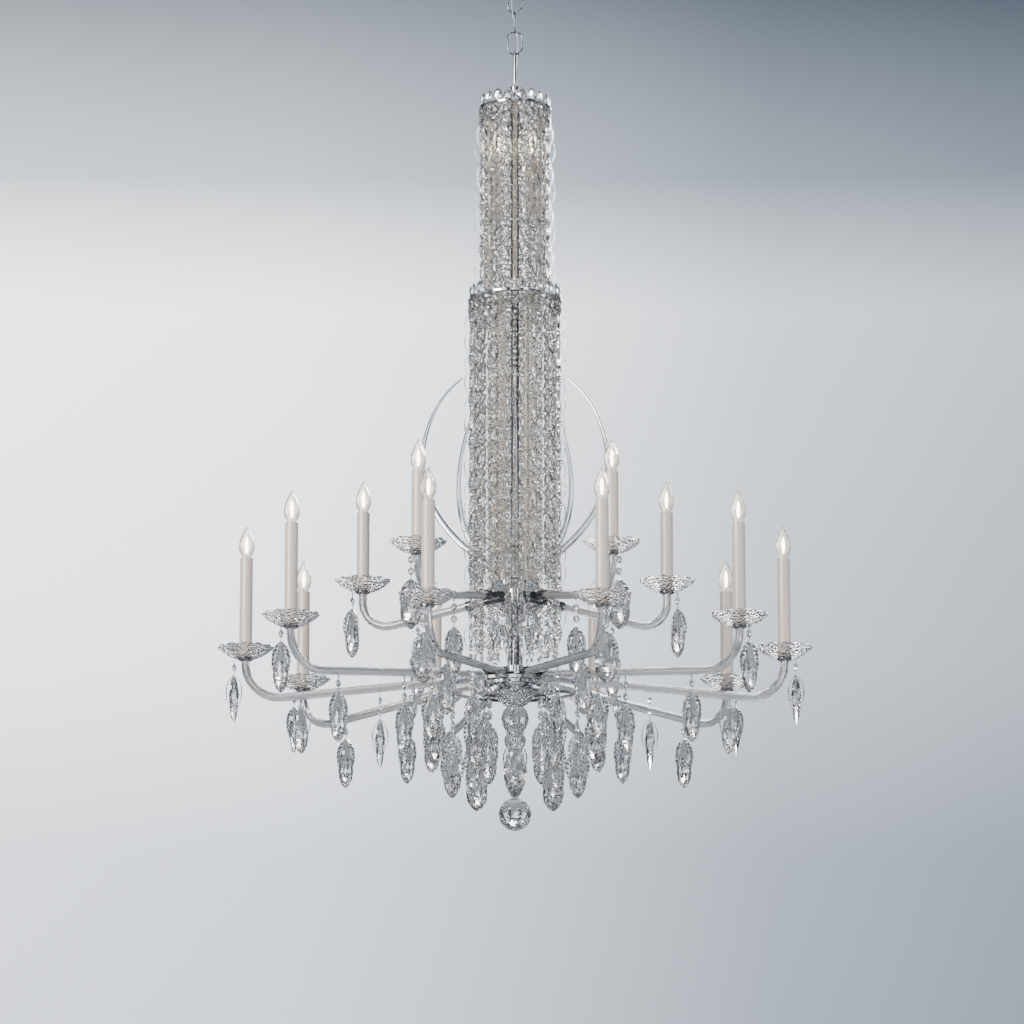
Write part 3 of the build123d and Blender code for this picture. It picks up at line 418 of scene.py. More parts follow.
class Dress(Enum):
    """The chandelier's finishes, each with the record's slot that it belongs to."""

    CHROME = ("chrome", PlatedMetal("polished_chrome_plate", "d9dadc", 0.05))
    DARK_CHROME = ("dark_chrome", PlatedMetal("smoked_chrome_plate", "77777b", 0.1))
    ZINC = ("zinc_steel", PlatedMetal("zinc_plated_steel", "a8a8a6", 0.34, haze_mm=3.0, haze=0.15))
    CHAIN = ("chain", PlatedMetal("polished_steel_chain", "8f979d", 0.14))
    WIRE = ("wire", PlatedMetal("bright_pin_wire", "a6a8aa", 0.2, haze_mm=2.0))
    CORE = ("arm_core", PlatedMetal("satin_silver_wire_tube", "ececec", 0.36, haze_mm=2.0, haze=0.2))
    BRASS = ("bulb_base", PlatedMetal("stamped_brass", "c9b27a", 0.25, haze_mm=3.0))
    CRYSTAL = ("crystal", CutGlass("lead_crystal_drop", "fdfdfd", 0.0, cut_mm=6.0, cut_depth=0.2))
    PRESSED = ("cut_crystal", CutGlass("pressed_crystal_dish", "f4f4f6", 0.03, cut_mm=4.5, cut_depth=1.0))
    BEADS = ("bead_strand", CutGlass("strung_crystal_beads", "fdfcf9", 0.0, cut_mm=5.0, cut_depth=0.3))
    LEAF = ("crystal", DrawnGlass("thin_leaf_glass", "fefefe", 0.0, wave_mm=12.0))
    # Dark grey, nearly opaque finish for the glass leaves' edge faces: painted shade that stands in for the dark
    # outline a clear glass edge shows.
    EDGE = ("crystal", CutGlass("leaf_edge_painted_shade", "35373b", 0.3, cut_mm=3.0, clarity=0.1))
    HORN = ("clear_glass", DrawnGlass("drawn_glass_horn", "fefefe", 0.0))
    ARM = ("arm_glass", DrawnGlass("fluted_drawn_glass", "fdfdfd", 0.03, wave_mm=18.0))
    SLEEVE = ("sleeve", PearlLacquer("pearl_champagne_lacquer", "f2e3d4", 0.4, metallic=0.12))
    CHAMPAGNE = ("champagne", PearlLacquer("champagne_cage_lacquer", "ecdcca", 0.34, metallic=0.25))
    SOCKET = ("socket", Moulded("moulded_phenolic", "e6e3dc", 0.5))
    CORD = ("cord", Moulded("clear_sleeved_flex", "c6c9cc", 0.25, clarity=0.3))
    BULB = ("bulb_glass", Glowing("lit_clear_bulb_glass", "fffdf8", 0.0, strength=0.12, clarity=1.0))
    FILAMENT = ("filament", Glowing("lit_filament", "fff2dc", 0.4, strength=12.0))

    @property
    def slot(self) -> str:
        """The record's material slot."""
        return self.value[0]

    @property
    def material(self) -> bpy.types.Material:
        """The finish's material, made the first time that it is asked for."""
        finish = self.value[1]
        return bpy.data.materials.get(finish.name) or finish.build()


def make_piece(name: str, bm: bmesh.types.BMesh, dresses: list[Dress], body: str, nodes: tuple[str, ...] = (),
               crease: float = 0.0) -> bpy.types.Object:
    """Finishes a piece: turns it to metres, dresses it and lets it ride.

    Args:
        name: the piece's name.
        bm: its shape, in millimetres, which is used up.
        dresses: its finishes, in the order of its faces' slots.
        body: the body that it rides on.
        nodes: the frame's nodes that it stands for.
        crease: degrees past which an edge stays sharp, or 0 where every cut is flat.

    Returns:
        The finished object.
    """
    bmesh.ops.scale(bm, vec=(MM, MM, MM), verts=bm.verts)
    for face in bm.faces:
        face.smooth = crease > 0
    mesh = as_pattern(bm, name)
    if crease:
        mesh.set_sharp_from_angle(angle=math.radians(crease))
    for dress in dresses:
        mesh.materials.append(dress.material)
    piece = bpy.data.objects.new(name, mesh)
    bpy.context.scene.collection.objects.link(piece)
    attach(piece, body)
    if nodes:
        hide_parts(*nodes)
    log.info("%s: %d faces", name, len(mesh.polygons))
    return piece


# ---------------------------------------------------------------- the studio
@dataclass
class Studio:
    """A pale room: a floor well below, soft light from both sides, and a long lens looking slightly up."""

    distance: float = 9.9
    brightness: float = 3.75
    by_height: tuple = ((0.0, 0.25), (0.05, 0.04), (0.11, 0.42), (0.166, 0.48), (0.2, 0.74), (0.262, 0.92),
                        (0.285, 0.36), (0.316, 0.14), (0.38, 0.04), (0.48, 0.9), (0.56, 0.04), (0.68, 0.03),
                        (0.76, 0.9), (0.84, 0.03), (1.0, 0.7))
    by_side: tuple = ((0.0, 0.3), (0.08, 0.03), (0.2, 0.05), (0.26, 0.95), (0.3, 0.95), (0.34, 0.03),
                      (0.4, 0.04), (0.43, 0.7), (0.4535, 1.0), (0.48, 0.88), (0.5, 0.667), (0.5225, 0.42),
                      (0.5465, 0.31), (0.57, 0.5), (0.6, 0.03), (0.66, 0.03), (0.7, 0.8), (0.74, 0.8),
                      (0.78, 0.03), (0.92, 0.05), (1.0, 0.3))
    lift_degrees: float = 13.1
    lens: float = 193.0
    aim: tuple[float, float, float] = (-0.0054, 0.0, -1.1056)
    floor_height: float = -3.9
    floor_reach: float = 60.0

    def camera(self) -> None:
        """Places the camera."""
        lift = math.radians(self.lift_degrees)
        camera = bpy.data.objects.new("camera", bpy.data.cameras.new("camera"))
        camera.data.lens = self.lens
        camera.location = Vector(self.aim) - self.distance * Vector((0, math.cos(lift), math.sin(lift)))
        camera.rotation_euler = (Vector(self.aim) - camera.location).to_track_quat("-Z", "Y").to_euler()
        bpy.context.scene.collection.objects.link(camera)
        bpy.context.scene.camera = camera

    def world(self) -> None:
        """A pale room that is darker overhead and lighter on the left."""
        world = bpy.data.worlds.new("room")
        bpy.context.scene.world = world
        world.use_nodes = True
        tree = world.node_tree
        tree.nodes.clear()
        way = add_node(tree, "ShaderNodeTexCoord").outputs["Generated"]
        split = add_node(tree, "ShaderNodeSeparateXYZ", links={"Vector": way})
        height = self.levels(tree, self.by_height, split.outputs["Z"])
        across = add_node(tree, "ShaderNodeMapRange", {"From Min": -1.0, "From Max": 1.0},
                          {"Value": split.outputs["X"]})
        side = self.levels(tree, self.by_side, across.outputs["Result"])
        level = add_node(tree, "ShaderNodeMixRGB", {"blend_type": "MULTIPLY", "Fac": 1.0},
                         {"Color1": height.outputs["Color"], "Color2": side.outputs["Color"]})
        room = add_node(tree, "ShaderNodeBackground", {"Strength": self.brightness},
                        {"Color": level.outputs["Color"]})
        add_node(tree, "ShaderNodeOutputWorld", links={"Surface": room.outputs["Background"]})

    def levels(self, tree: bpy.types.NodeTree, rows: tuple, fac: bpy.types.NodeSocket) -> bpy.types.Node:
        """A ramp of brightness. The darker a level is, the bluer it is.

        Args:
            tree: the world's nodes.
            rows: positions and levels.
            fac: what drives the ramp.

        Returns:
            The ramp.
        """
        node = add_node(tree, "ShaderNodeValToRGB", links={"Fac": fac})
        elements = node.color_ramp.elements
        while len(elements) < len(rows):
            elements.new(0.5)
        for element, (position, level) in zip(elements, rows):
            cool = 0.12 * max(0.0, 1 - level)
            element.position = position
            element.color = (level * (1 - 1.4 * cool), level * (1 - 0.4 * cool), level * (1 + cool), 1.0)
        return node

    def lamp(self, name: str, place: tuple[float, float, float], size: float, power: float,
             colour: str) -> None:
        """One soft box, aimed at the chandelier's middle.

        Args:
            name: its name.
            place: where it stands, in metres.
            size: its side, in metres.
            power: in watts.
            colour: its light's colour.
        """
        data = bpy.data.lights.new(name, "AREA")
        data.size, data.energy, data.color = size, power, srgb(colour)[:3]
        lamp = bpy.data.objects.new(name, data)
        lamp.location = place
        lamp.rotation_euler = (Vector(self.aim) - lamp.location).to_track_quat("-Z", "Y").to_euler()
        bpy.context.scene.collection.objects.link(lamp)

    def floor(self) -> None:
        """The pale floor."""
        bm = bmesh.new()
        bmesh.ops.create_grid(bm, x_segments=1, y_segments=1, size=self.floor_reach,
                              matrix=Matrix.Translation((0, 0, self.floor_height)))
        floor = bpy.data.objects.new("floor", as_pattern(bm, "floor"))
        floor.data.materials.append(Moulded("pale_floor", "dcdee0", 0.7, grain_mm=60.0).build())
        bpy.context.scene.collection.objects.link(floor)

    def build(self) -> None:
        """Sets up everything but the camera."""
        self.world()
        self.floor()
        self.lamp("key", (-3.2, -3.4, 0.4), 1.6, 260, "fffaf4")
        self.lamp("fill", (3.6, -2.6, -1.8), 1.8, 80, "f4f6ff")
        self.lamp("rim", (0.6, 3.4, 0.6), 1.2, 90, "ffffff")


# ---------------------------------------------------------------- ceiling set and cord
@dataclass
class SupplyCord:
    """The flex that is woven through the chain. It is one cord, cut where it runs straight inside a link."""

    diameter: float = 3.0
    weave: float = 5.6
    bend: float = 0.012

    def route(self) -> list[tuple[float, float, float]]:
        """The cord's route, from the canopy's loop to the fixture's, in metres."""
        near = self.weave * MM
        return [(0, 0, -0.0555), (near, near, -0.0852), (-near, near, -0.1237), (-near, -near, -0.1637),
                (near, -near, -0.2037), (near, near, -0.2443), (0.0015, 0.0015, -0.2843), (0, 0, -0.3037)]

    def tube(self) -> bpy.types.Mesh:
        """The whole cord as one mesh.

        Returns:
            A round tube along a smooth spline.
        """
        line = bpy.data.curves.new("supply_cord_line", "CURVE")
        line.dimensions = "3D"
        spline = line.splines.new("NURBS")
        points = self.route()
        spline.points.add(len(points) - 1)
        for point, place in zip(spline.points, points):
            point.co = (*place, 1)
        spline.order_u = 3
        spline.use_endpoint_u = True
        spline.resolution_u = 8
        line.bevel_depth, line.bevel_resolution, line.use_fill_caps = self.diameter / 2 * MM, 4, True
        holder = bpy.data.objects.new("supply_cord_line", line)
        mesh = bpy.data.meshes.new_from_object(holder)
        bpy.data.objects.remove(holder)
        bpy.data.curves.remove(line)
        return mesh

    def build(self) -> None:
        """Cuts the tube at the middle of each link, so that each length bends over one joint of the chain."""
        tube = self.tube()
        links = [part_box(f"chain_link_{number}") for number in range(1, 5)]
        cuts = [sum(corner.z for corner in box) / 2 for box in links]
        bodies = ["ceiling", "chain_1", "chain_2", "chain_3", "chain_4", FIXTURE]
        pivots = [joint["pos_m"][2] for joint in frame["joints"] if joint["child"] in bodies[1:]]
        for number, pivot in enumerate(pivots):
            bm = bmesh.new()
            bm.from_mesh(tube)
            ends = [(height, 1) for height in cuts[number - 1:number]] if number else []
            ends += [(height, -1) for height in cuts[number:number + 1]]
            for height, upwards in ends:
                cut = bmesh.ops.bisect_plane(bm, geom=bm.verts[:] + bm.edges[:] + bm.faces[:],
                                             plane_co=(0, 0, height), plane_no=(0, 0, upwards),
                                             clear_outer=True)["geom_cut"]
                rim = [part for part in cut if isinstance(part, bmesh.types.BMEdge)]
                bmesh.ops.edgeloop_fill(bm, edges=rim)
            bmesh.ops.scale(bm, vec=(1 / MM, 1 / MM, 1 / MM), verts=bm.verts)
            piece = make_piece(f"supply_cord_{number + 1}", bm, [Dress.CORD], bodies[number],
                               ("supply_cord",), 40)
            piece.parent = None
            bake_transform(piece)


# ---------------------------------------------------------------- hanging crystals
class Cut(Enum):
    """The crystals that hang: their rings of corners, sides and thickness."""

    SPEAR = ([(0, 1.4), (5, 3.4), (14, 6.2), (36, 9.4), (56, 8.8), (76, 5.0), (92, 0.5)], 6, 1.0)
    TEAR = ([(0, 1.4), (5, 3.2), (14, 6.4), (34, 11.8), (46, 14.2), (60, 15.4), (74, 13.2), (84, 8.6),
             (90, 2.5)], 10, 0.85)
    LARGE = ([(0, 1.6), (6, 4.0), (15, 8.4), (36, 17.2), (48, 20.6), (58, 21.8), (72, 18.8), (83, 10.8),
              (89, 3.0)], 12, 0.7)
    BUD = ([(0, 1.2), (10, 5.4), (24, 8.4), (38, 5.0), (48, 0.5)], 6, 0.8)


@dataclass
class DropMaker:
    """Makes any hanging drop from a few stamped patterns: eye, pins, octagons, crystal and leaves."""

    octagon: float = 14.0
    octagon_thick: float = 7.0
    pin: float = 7.0
    end_gap: float = 0.15

    def __post_init__(self) -> None:
        """Cuts the patterns."""
        half, thick = self.octagon / 2, self.octagon_thick / 2
        bead = cut_stack([(-thick, half * 0.5), (-thick * 0.35, half * 0.97), (thick * 0.35, half * 0.97),
                          (thick, half * 0.5)], 8)
        bmesh.ops.rotate(bead, verts=bead.verts, cent=(0, 0, 0), matrix=Matrix.Rotation(math.pi / 2, 3, "Y"))
        self.bead = as_pattern(bead, "octagon")
        self.pin_wire = as_pattern(wire(self.pin + 2, 0.7), "pin")
        self.hook = as_pattern(eye(2.0, 0.6), "hook")
        self.bodies = {cut: as_pattern(cut_stack(*cut.value), cut.name) for cut in Cut}
        self.leaf = as_pattern(leaf(64.0, 7.5, 14.0, 1.5), "leaf")

    def hang(self, bm: bmesh.types.BMesh, place: Matrix, cut: Cut, octagons: int, leaves: int = 4,
             inward: float = 1.0) -> None:
        """Hangs one drop.

        Args:
            bm: the piece that grows. Slot 0 is crystal, 1 leaf glass and 2 wire.
            place: where its hook is, in millimetres.
            cut: the crystal at its foot.
            octagons: how many octagons come before that.
            leaves: how many glass leaves flank it.
            inward: how far the leaf on the stem's side bows, as a share of the others.
        """
        stamp(bm, self.hook, place @ Matrix.Translation((0, 0, -1.4)), 2)
        stamp(bm, self.pin_wire, place @ Matrix.Translation((0, 0, -1)), 2)
        depth = self.pin
        for _ in range(octagons):
            middle = -depth - self.end_gap - self.octagon / 2
            stamp(bm, self.bead, place @ Matrix.Translation((0, 0, middle)), 0)
            depth += self.octagon + 2 * self.end_gap
            stamp(bm, self.pin_wire, place @ Matrix.Translation((0, 0, 1 - depth)), 2)
            depth += self.pin
        foot = place @ Matrix.Translation((0, 0, -depth - self.end_gap))
        stamp(bm, self.bodies[cut], foot, 0)
        spread = {Cut.SPEAR: 1.0, Cut.TEAR: 1.15, Cut.LARGE: 1.5, Cut.BUD: 0.6}[cut]
        for number in range(leaves):
            turn = Matrix.Rotation(2 * math.pi * number / leaves, 4, "Z")
            bow = spread * (inward if 2 * number == leaves else 1.0)
            size = Matrix.Diagonal((bow, min(spread, 1.2), min(spread, 1.1), 1))
            stamp(bm, self.leaf, foot @ turn @ Matrix.Translation((1.0, 0, 0.5)) @ size, 1)


@dataclass
class HangingCrystals:
    """Everything that hangs from the dishes, the arms and the rings."""

    maker: DropMaker
    hub_r: float = 20.0
    upper_reach: float = 290.0
    lower_reach: float = 483.0
    upper_hub: float = -1261.5
    lower_hub: float = -1407.5
    ring_height: float = -1430.0

    def dish_cut(self, body: str, angle: float) -> tuple[Cut, int]:
        """Which crystal hangs from a dish, and how many octagons it has.

        Args:
            body: the drop's body.
            angle: its angle from the front.

        Returns:
            The crystal and its octagons.
        """
        folded = min(angle, 360 - angle)
        if "upper" in body:
            return (Cut.LARGE, 2) if folded < 60 else (Cut.TEAR, 1)
        if folded < 30:
            return Cut.LARGE, 2
        return (Cut.SPEAR, 1) if 80 < folded < 140 else (Cut.TEAR, 1)

    def dish_drops(self) -> None:
        """Each dish's drop swings on its own body, so each is a piece."""
        for joint in frame["joints"]:
            body = joint["child"]
            if not body.startswith("drop_"):
                continue
            x, y, z = (value / MM for value in joint["pos_m"])
            angle = round(math.degrees(math.atan2(y, x)) + 90) % 360
            cut, octagons = self.dish_cut(body, angle)
            bm = bmesh.new()
            inward = 0.6 if "upper" in body else 1.0
            self.maker.hang(bm, at_angle(angle, math.hypot(x, y), z), cut, octagons, 4, inward)
            make_piece(f"{body}_crystal", bm, [Dress.CRYSTAL, Dress.LEAF, Dress.WIRE, Dress.EDGE], body,
                       (body,))

    def underside(self, hub: float, reach: float, dip: float, radius: float) -> float:
        """The height of the lowest line of an arm at a distance from the stem."""
        return hub - dip * (radius - self.hub_r) / (reach - self.hub_r) - 8.0

    def fixed_drops(self) -> None:
        """The drops under the arms and the two rings ride with the fixture."""
        bm = bmesh.new()
        side = ((382.0, Cut.TEAR, 0), (241.0, Cut.SPEAR, 2), (180.0, Cut.BUD, 0))
        front = ((382.0, Cut.TEAR, 1), (241.0, Cut.TEAR, 2), (180.0, Cut.LARGE, 1))
        for number in range(10):
            angle = 18 + 36 * number
            for radius, cut, octagons in front if min(angle, 360 - angle) in (54, 126) else side:
                height = self.underside(self.lower_hub, self.lower_reach, 45.5, radius)
                self.maker.hang(bm, at_angle(angle, radius, height), cut, octagons)
        for number in range(5):
            between, along = 72 * number, 36 + 72 * number
            height = self.underside(self.upper_hub, self.upper_reach, 48.5, 184.0)
            self.maker.hang(bm, at_angle(along, 184.0, height), Cut.TEAR, 2)
            self.maker.hang(bm, at_angle(between, 40.0, self.upper_hub - 37.2), Cut.BUD, 0, 2)
            self.maker.hang(bm, at_angle(between, 117.0, self.ring_height - 3.0), Cut.LARGE, 5)
            self.maker.hang(bm, at_angle(between, 79.0, self.ring_height - 3.0), Cut.TEAR, 2)
            self.maker.hang(bm, at_angle(along, 117.0, self.ring_height - 3.0), Cut.TEAR, 3)
            self.maker.hang(bm, at_angle(along, 79.0, self.ring_height - 3.0), Cut.TEAR, 4)
        make_piece("fixed_drops", bm, [Dress.CRYSTAL, Dress.LEAF, Dress.WIRE, Dress.EDGE], FIXTURE,
                   ("arm_crystals", "hub_crystals", "octagon_links", "pin_wires"))

    def build(self) -> None:
        """Hangs them all."""
        self.dish_drops()
        self.fixed_drops()


# ---------------------------------------------------------------- the column
@dataclass
class Column:
    """The draped column: a glass dome, two crowns of upright leaves and two tiers of strung crystals."""

    maker: DropMaker
    module: float = 78.0
    small_bead: float = 9.5
    small_pitch: float = 10.6

    def __post_init__(self) -> None:
        """Cuts the column's own patterns."""
        prism = [(0, 1.4), (7, 5.0), (19, 6.6), (31, 5.0), (39, 1.2)]
        collar = [(-9, 2.5), (-5, 7.5), (2, 9.0), (8, 6.0), (11, 2.0)]
        petal = [(-23, 2.5), (-18, 7.5), (-11, 10.0), (-4, 7.5), (0, 4.2)]
        self.prism = as_pattern(cut_stack(prism, 6, 0.7), "prism")
        self.bow = as_pattern(leaf(46.0, 5.5, 12.0, 1.2), "bow")
        self.collar = as_pattern(cut_stack(collar, 8, 0.45), "collar")
        self.petal = as_pattern(cut_stack(petal, 8, 0.3), "petal")

    def strand(self, bm: bmesh.types.BMesh, place: Matrix, length: float, shift: float) -> None:
        """Strings one strand: a prism and two octagons in turn, with a leaf that bows out over each prism.

        Args:
            bm: the piece that grows.
            place: the strand's top.
            length: how far it hangs.
            shift: how far down its first prism starts.
        """
        stamp(bm, self.maker.pin_wire, place, 2)
        depth = shift
        while depth + 39 < length:
            stamp(bm, self.prism, place @ Matrix.Translation((0, 0, -depth)), 0)
            stamp(bm, self.bow, place @ Matrix.Translation((1.5, 0, -depth - 2)), 1)
            depth += self.module
        spot = 10.0
        while spot + 7 < length:
            inside = (spot - shift) % self.module
            if spot < shift - 6 or inside > 44 and inside < self.module - 5:
                stamp(bm, self.maker.bead, place @ Matrix.Translation((0, 0, -spot)), 0)
                spot += 17.5
            else:
                spot += 3.0

    def small_strand(self, bm: bmesh.types.BMesh, place: Matrix, length: float) -> None:
        """Strings a close row of small octagons, each turned a little from the last."""
        size = Matrix.Scale(self.small_bead / self.maker.octagon, 4)
        for number in range(int(length / self.small_pitch)):
            turn = Matrix.Rotation(0.9 * number, 4, "Z")
            middle = Matrix.Translation((0, 0, -self.small_pitch * (number + 0.5)))
            stamp(bm, self.maker.bead, place @ middle @ turn @ size, 0)

    def drape(self, node: str, radius: float, count: int, shorter: tuple[float, float, float] | None) -> None:
        """Drapes one tier.

        Args:
            node: the frame's node that the drape stands for.
            radius: of the circle of strands.
            count: strands in the circle.
            shorter: the first angle and step of the arms that strands stop above, and how much shorter
                those strands are.
        """
        low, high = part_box(node)
        top, full = high.z / MM, (high.z - low.z) / MM
        bm = bmesh.new()
        for number in range(count):
            angle = 360 * (number + 0.5) / count
            length = full
            if shorter:
                away = (angle - shorter[0] + shorter[1] / 2) % shorter[1] - shorter[1] / 2
                length -= shorter[2] if abs(away) < 18 else 0
            self.strand(bm, at_angle(angle, radius, top), length, 14.0 + (number % 2) * self.module / 2)
            self.small_strand(bm, at_angle(angle + 180 / count, radius - 6.0, top), length - 4.0)
            self.small_strand(bm, at_angle(angle, radius - 13.0, top), length - 9.0)
            stamp(bm, self.collar, at_angle(angle, radius + 2.0, top - 12.0), 0)
            stamp(bm, self.collar, at_angle(angle + 180 / count, radius + 2.0, top - 15.0), 0)
        make_piece(f"{node}_beads", bm, [Dress.BEADS, Dress.LEAF, Dress.WIRE, Dress.EDGE], FIXTURE, (node,))

    def crowns(self) -> None:
        """The leaves that stand on the top ring and the middle ring."""
        bm = bmesh.new()
        for node, inset, count in (("top_ring", 4.5, 18), ("mid_ring", 4.5, 24)):
            low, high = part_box(node)
            for number in range(count):
                angle = 360 * (number + 0.5) / count
                stamp(bm, self.petal, at_angle(angle, high.x / MM - inset, high.z / MM + 0.2))
        make_piece("crown_leaves", bm, [Dress.CRYSTAL], FIXTURE, ("crown_petals",))

    def dome(self) -> None:
        """The fluted glass dome under the fixture's loop."""
        low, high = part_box("top_dome")
        foot, top, wide = low.z / MM, high.z / MM, high.x / MM
        outside = [(5.4, top), (10, top), (19, top - 2.5), (26, top - 8), (30, top - 16), (wide, foot)]
        inside = [(wide - 3, foot), (27, top - 17), (23.5, top - 10), (17.5, top - 5.5), (10, top - 3),
                  (5.4, top - 3)]
        dome = turned(outside + inside, 60, 15, 0.03)
        make_piece("fluted_dome", dome, [Dress.PRESSED], FIXTURE, ("top_dome",), 30)

    def build(self) -> None:
        """Builds the column."""
        self.dome()
        self.crowns()
        self.drape("upper_strands", 61.0, 15, None)
        self.drape("lower_strands", 80.0, 20, (36.0, 72.0, 150.0))


# ---------------------------------------------------------------- arms
@dataclass
class ArmTier:
    """One tier of fluted glass arms: a straight run out from the hub, a round bend, and up into the dish."""

    node: str
    hub: float
    reach: float
    dip: float
    bend: float
    start: float
    angles: tuple[int, ...]
    outer: float = 7.5
    bore: float = 4.8
    flutes: int = 14
    flute_depth: float = 0.45
    bend_steps: int = 22

    def arm(self) -> bmesh.types.BMesh:
        """Draws one arm in the XZ plane.

        Returns:
            A closed fluted tube.
        """
        fall = math.atan2(self.dip, self.reach - 20.0)
        heading = Vector((math.cos(fall), 0, -math.sin(fall)))
        corner = Vector((self.reach, 0, self.hub - self.dip))
        tangent = self.bend * math.tan((math.pi / 2 + fall) / 2)
        first = corner - heading * ((self.reach - self.start - 0.6) / math.cos(fall))
        bend_start = corner - heading * tangent
        centre = bend_start + self.bend * Vector((math.sin(fall), 0, math.cos(fall)))
        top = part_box(self.node)[1].z / MM
        place = Matrix.Translation(first) @ heading.to_track_quat("Z", "Y").to_matrix().to_4x4()
        bm = bmesh.new()
        outer = bmesh.ops.create_circle(bm, segments=self.flutes * 4, radius=self.outer)["verts"]
        for vert in outer:
            depth = self.flute_depth * (0.5 - 0.5 * math.cos(self.flutes * math.atan2(vert.co.y, vert.co.x)))
            vert.co *= 1 - depth / self.outer
        bmesh.ops.create_circle(bm, segments=self.flutes * 4, radius=self.bore)
        bmesh.ops.transform(bm, matrix=place, verts=bm.verts)
        loops = bm.edges[:]
        bmesh.ops.bridge_loops(bm, edges=loops)
        loops = self.grow(bm, loops, bend_start - first)
        corners = list({vert for edge in loops for vert in edge.verts})
        swept = bmesh.ops.spin(bm, geom=loops + corners, cent=centre, axis=(0, -1, 0),
                               angle=math.pi / 2 + fall, steps=self.bend_steps)["geom_last"]
        loops = [part for part in swept if isinstance(part, bmesh.types.BMEdge)]
        loops = self.grow(bm, loops, Vector((0, 0, top - (corner.z + tangent))))
        bmesh.ops.bridge_loops(bm, edges=loops)
        bmesh.ops.recalc_face_normals(bm, faces=bm.faces)
        return bm

    def grow(self, bm: bmesh.types.BMesh, loops: list[bmesh.types.BMEdge],
             way: Vector) -> list[bmesh.types.BMEdge]:
        """Draws the tube's two open edges out straight.

        Args:
            bm: the arm.
            loops: its open edges.
            way: how far and which way.

        Returns:
            The new open edges.
        """
        grown = bmesh.ops.extrude_edge_only(bm, edges=loops)["geom"]
        verts = [part for part in grown if isinstance(part, bmesh.types.BMVert)]
        bmesh.ops.translate(bm, verts=verts, vec=way)
        return edges_within(grown, set(verts))

    def build(self) -> None:
        """Stamps the arm at each of its angles."""
        pattern = as_pattern(self.arm(), f"{self.node}_pattern")
        bm = bmesh.new()
        for angle in self.angles:
            stamp(bm, pattern, at_angle(angle, 0, 0))
        make_piece(f"{self.node}_fluted", bm, [Dress.ARM], FIXTURE, (self.node,), 50)


# ---------------------------------------------------------------- candles and dishes
@dataclass
class Candles:
    """The scalloped dishes and the lit lamps."""

    upper: tuple[float, float, int] = (290.0, -1234.0, 144)
    lower: tuple[float, float, int] = (483.0, -1376.0, 181)
    inner: tuple[float, float, int] = (30.0, -562.0, 120)
    wall: float = 3.0

    def places(self) -> list[tuple[Matrix, float]]:
        """Where each dish stands, and how tall its candle is."""
        found = []
        for (reach, height, sleeve), start, step in ((self.upper, 36, 72), (self.lower, 18, 36)):
            found += [(at_angle(start + step * n, reach, height), sleeve) for n in range(360 // step)]
        return found

    def dishes(self) -> None:
        """Pressed crystal dishes with a scalloped rim."""
        outside = [(6.4, 0), (15, 0), (24, 2.6), (33, 7.2), (42, 13.4), (50.2, 20.2)]
        inside = [(48.0, 21.0), (40.5, 15.6), (32, 10.2), (24, 6.0), (15, 3), (6.4, 3)]
        pattern = as_pattern(turned(outside + inside, 72, 12, 0.022, 1.3), "dish")
        bm = bmesh.new()
        for place, _ in self.places():
            stamp(bm, pattern, place)
        make_piece("scalloped_dishes", bm, [Dress.PRESSED], FIXTURE, ("bobeches",), 25)

    def filaments(self) -> None:
        """A glass stem with a ring of lit filaments in each lamp."""
        bm = bmesh.new()
        stem = as_pattern(turned([(0, 0.4), (3.4, 0.4), (2.2, 5), (1.1, 10), (0.8, 37), (0, 38)], 12), "stem")
        glow = [(0, 9.5), (1.6, 10), (2.6, 14), (3.4, 24), (2.6, 34), (1.2, 39), (0, 39.6)]
        lit = as_pattern(turned(glow, 12), "lit")
        spots = self.places()
        x, height, sleeve = self.inner
        spots += [(Matrix.Translation((side * x, 0, height)), sleeve) for side in (-1, 1)]
        for place, sleeve in spots:
            top = place @ Matrix.Translation((0, 0, self.wall + sleeve))
            stamp(bm, stem, top, 1)
            stamp(bm, lit, top, 0)
        make_piece("lamp_filaments", bm, [Dress.FILAMENT, Dress.LEAF], FIXTURE, ("bulb_filaments",), 40)

    def build(self) -> None:
        """Builds dishes and lamps."""
        self.dishes()
        self.filaments()


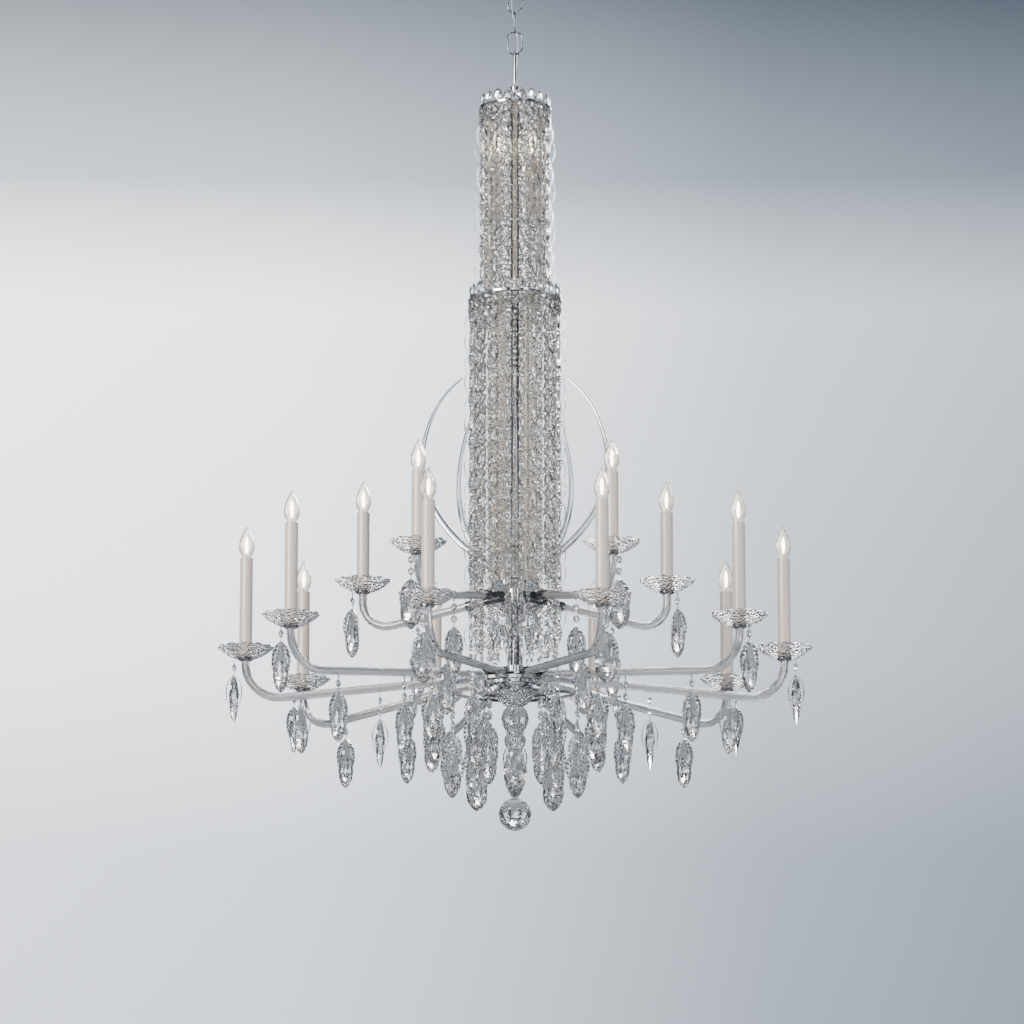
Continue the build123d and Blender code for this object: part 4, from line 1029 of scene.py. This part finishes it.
# ---------------------------------------------------------------- hub glass and finial
@dataclass
class HubGlass:
    """The fluted bowl and dish under the hubs, and the turned glass that ends in a ball."""

    flutes: int = 16

    def bowls(self) -> None:
        """The shallow dish under the upper hub and the deeper bowl under the lower one."""
        for node, depth, bore in (("upper_hub_dish", 18.0, 8.1), ("lower_hub_bowl", 28.0, 3.1)):
            low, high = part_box(node)
            wide, foot = high.x / MM, low.z / MM
            outside = [(bore, 0), (0.3 * wide, 0), (0.55 * wide, 0.16 * depth), (0.78 * wide, 0.44 * depth),
                       (wide, depth)]
            inside = [(wide - 2.6, depth), (0.76 * wide - 2, 0.44 * depth + 1.6),
                      (0.54 * wide - 1, 0.16 * depth + 2.4), (0.3 * wide, 3.0), (bore, 3.0)]
            profile = [(radius, foot + height) for radius, height in outside + inside]
            bowl = turned(profile, 6 * self.flutes, self.flutes, 0.03)
            make_piece(f"{node}_fluted", bowl, [Dress.PRESSED], FIXTURE, (node,), 25)

    def finial(self) -> None:
        """Three cut glass bodies on the rod, with flat cuts all round."""
        low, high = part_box("finial_glass")
        top = high.z / MM
        bm = bmesh.new()
        vase = [(0, 16), (8, 22), (22, 25.4), (38, 20), (48, 11)]
        knop = [(0, 12), (5, 18), (13, 20), (21, 18), (26, 12)]
        spindle = [(0, 7), (12, 10), (24, 13), (38, 16.4), (52, 19), (64, 17.6), (72, 15), (80, 11), (88, 7)]
        for stations, drop in ((vase, 0), (knop, 48.4), (spindle, 74.8)):
            body = as_pattern(cut_stack(stations, 14), "turned_body")
            stamp(bm, body, Matrix.Translation((0, 0, top - drop)))
        make_piece("finial_cut_glass", bm, [Dress.CRYSTAL], FIXTURE, ("finial_glass",))

    def ball(self) -> None:
        """The faceted ball at the foot."""
        low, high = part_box("finial_ball")
        radius = (high.x - low.x) / 2 / MM
        rows = 9
        stations = [(radius * (1 - math.cos(math.pi * (k + 0.35) / (rows - 0.3))),
                     radius * math.sin(math.pi * (k + 0.35) / (rows - 0.3))) for k in range(rows)]
        bm = cut_stack(stations, 16)
        bmesh.ops.translate(bm, verts=bm.verts, vec=(0, 0, low.z / MM + 2 * radius))
        make_piece("faceted_ball", bm, [Dress.CRYSTAL], FIXTURE, ("finial_ball",))

    def build(self) -> None:
        """Builds the glass round the hubs and below them."""
        self.bowls()
        self.finial()
        self.ball()


# ---------------------------------------------------------------- the frame's own pieces
@dataclass
class FrameDresser:
    """Gives the frame's own nodes their finishes, by the slots that the record names."""

    def build(self) -> None:
        """Dresses each node."""
        by_slot = {dress.slot: dress for dress in reversed(Dress)}
        for row in frame["record"]["subparts"]:
            node = frame["nodes"][row["node"]]
            dress = by_slot[row["material_slot"]]
            if not node.material_slots:
                node.data.materials.append(dress.material)
            for holder in node.material_slots:
                holder.material = dress.material
        log.info("dressed %d nodes", len(frame["nodes"]))


def main() -> None:
    """Builds the chandelier in order: camera and cord, then the frame's finishes, then glass and crystal."""
    logging.basicConfig(level=logging.INFO, format="%(name)s %(message)s")
    studio = Studio()
    studio.camera()
    SupplyCord().build()
    FrameDresser().build()
    maker = DropMaker()
    HangingCrystals(maker).build()
    Column(maker).build()
    ArmTier("upper_arm_glass", -1261.5, 290.0, 48.5, 48.0, 88.0, (36, 108, 180, 252, 324)).build()
    ArmTier("lower_arm_glass", -1407.5, 483.0, 45.5, 62.0, 62.0, tuple(range(18, 360, 36))).build()
    Candles().build()
    HubGlass().build()
    studio.build()


if __name__ == "__main__":
    main()
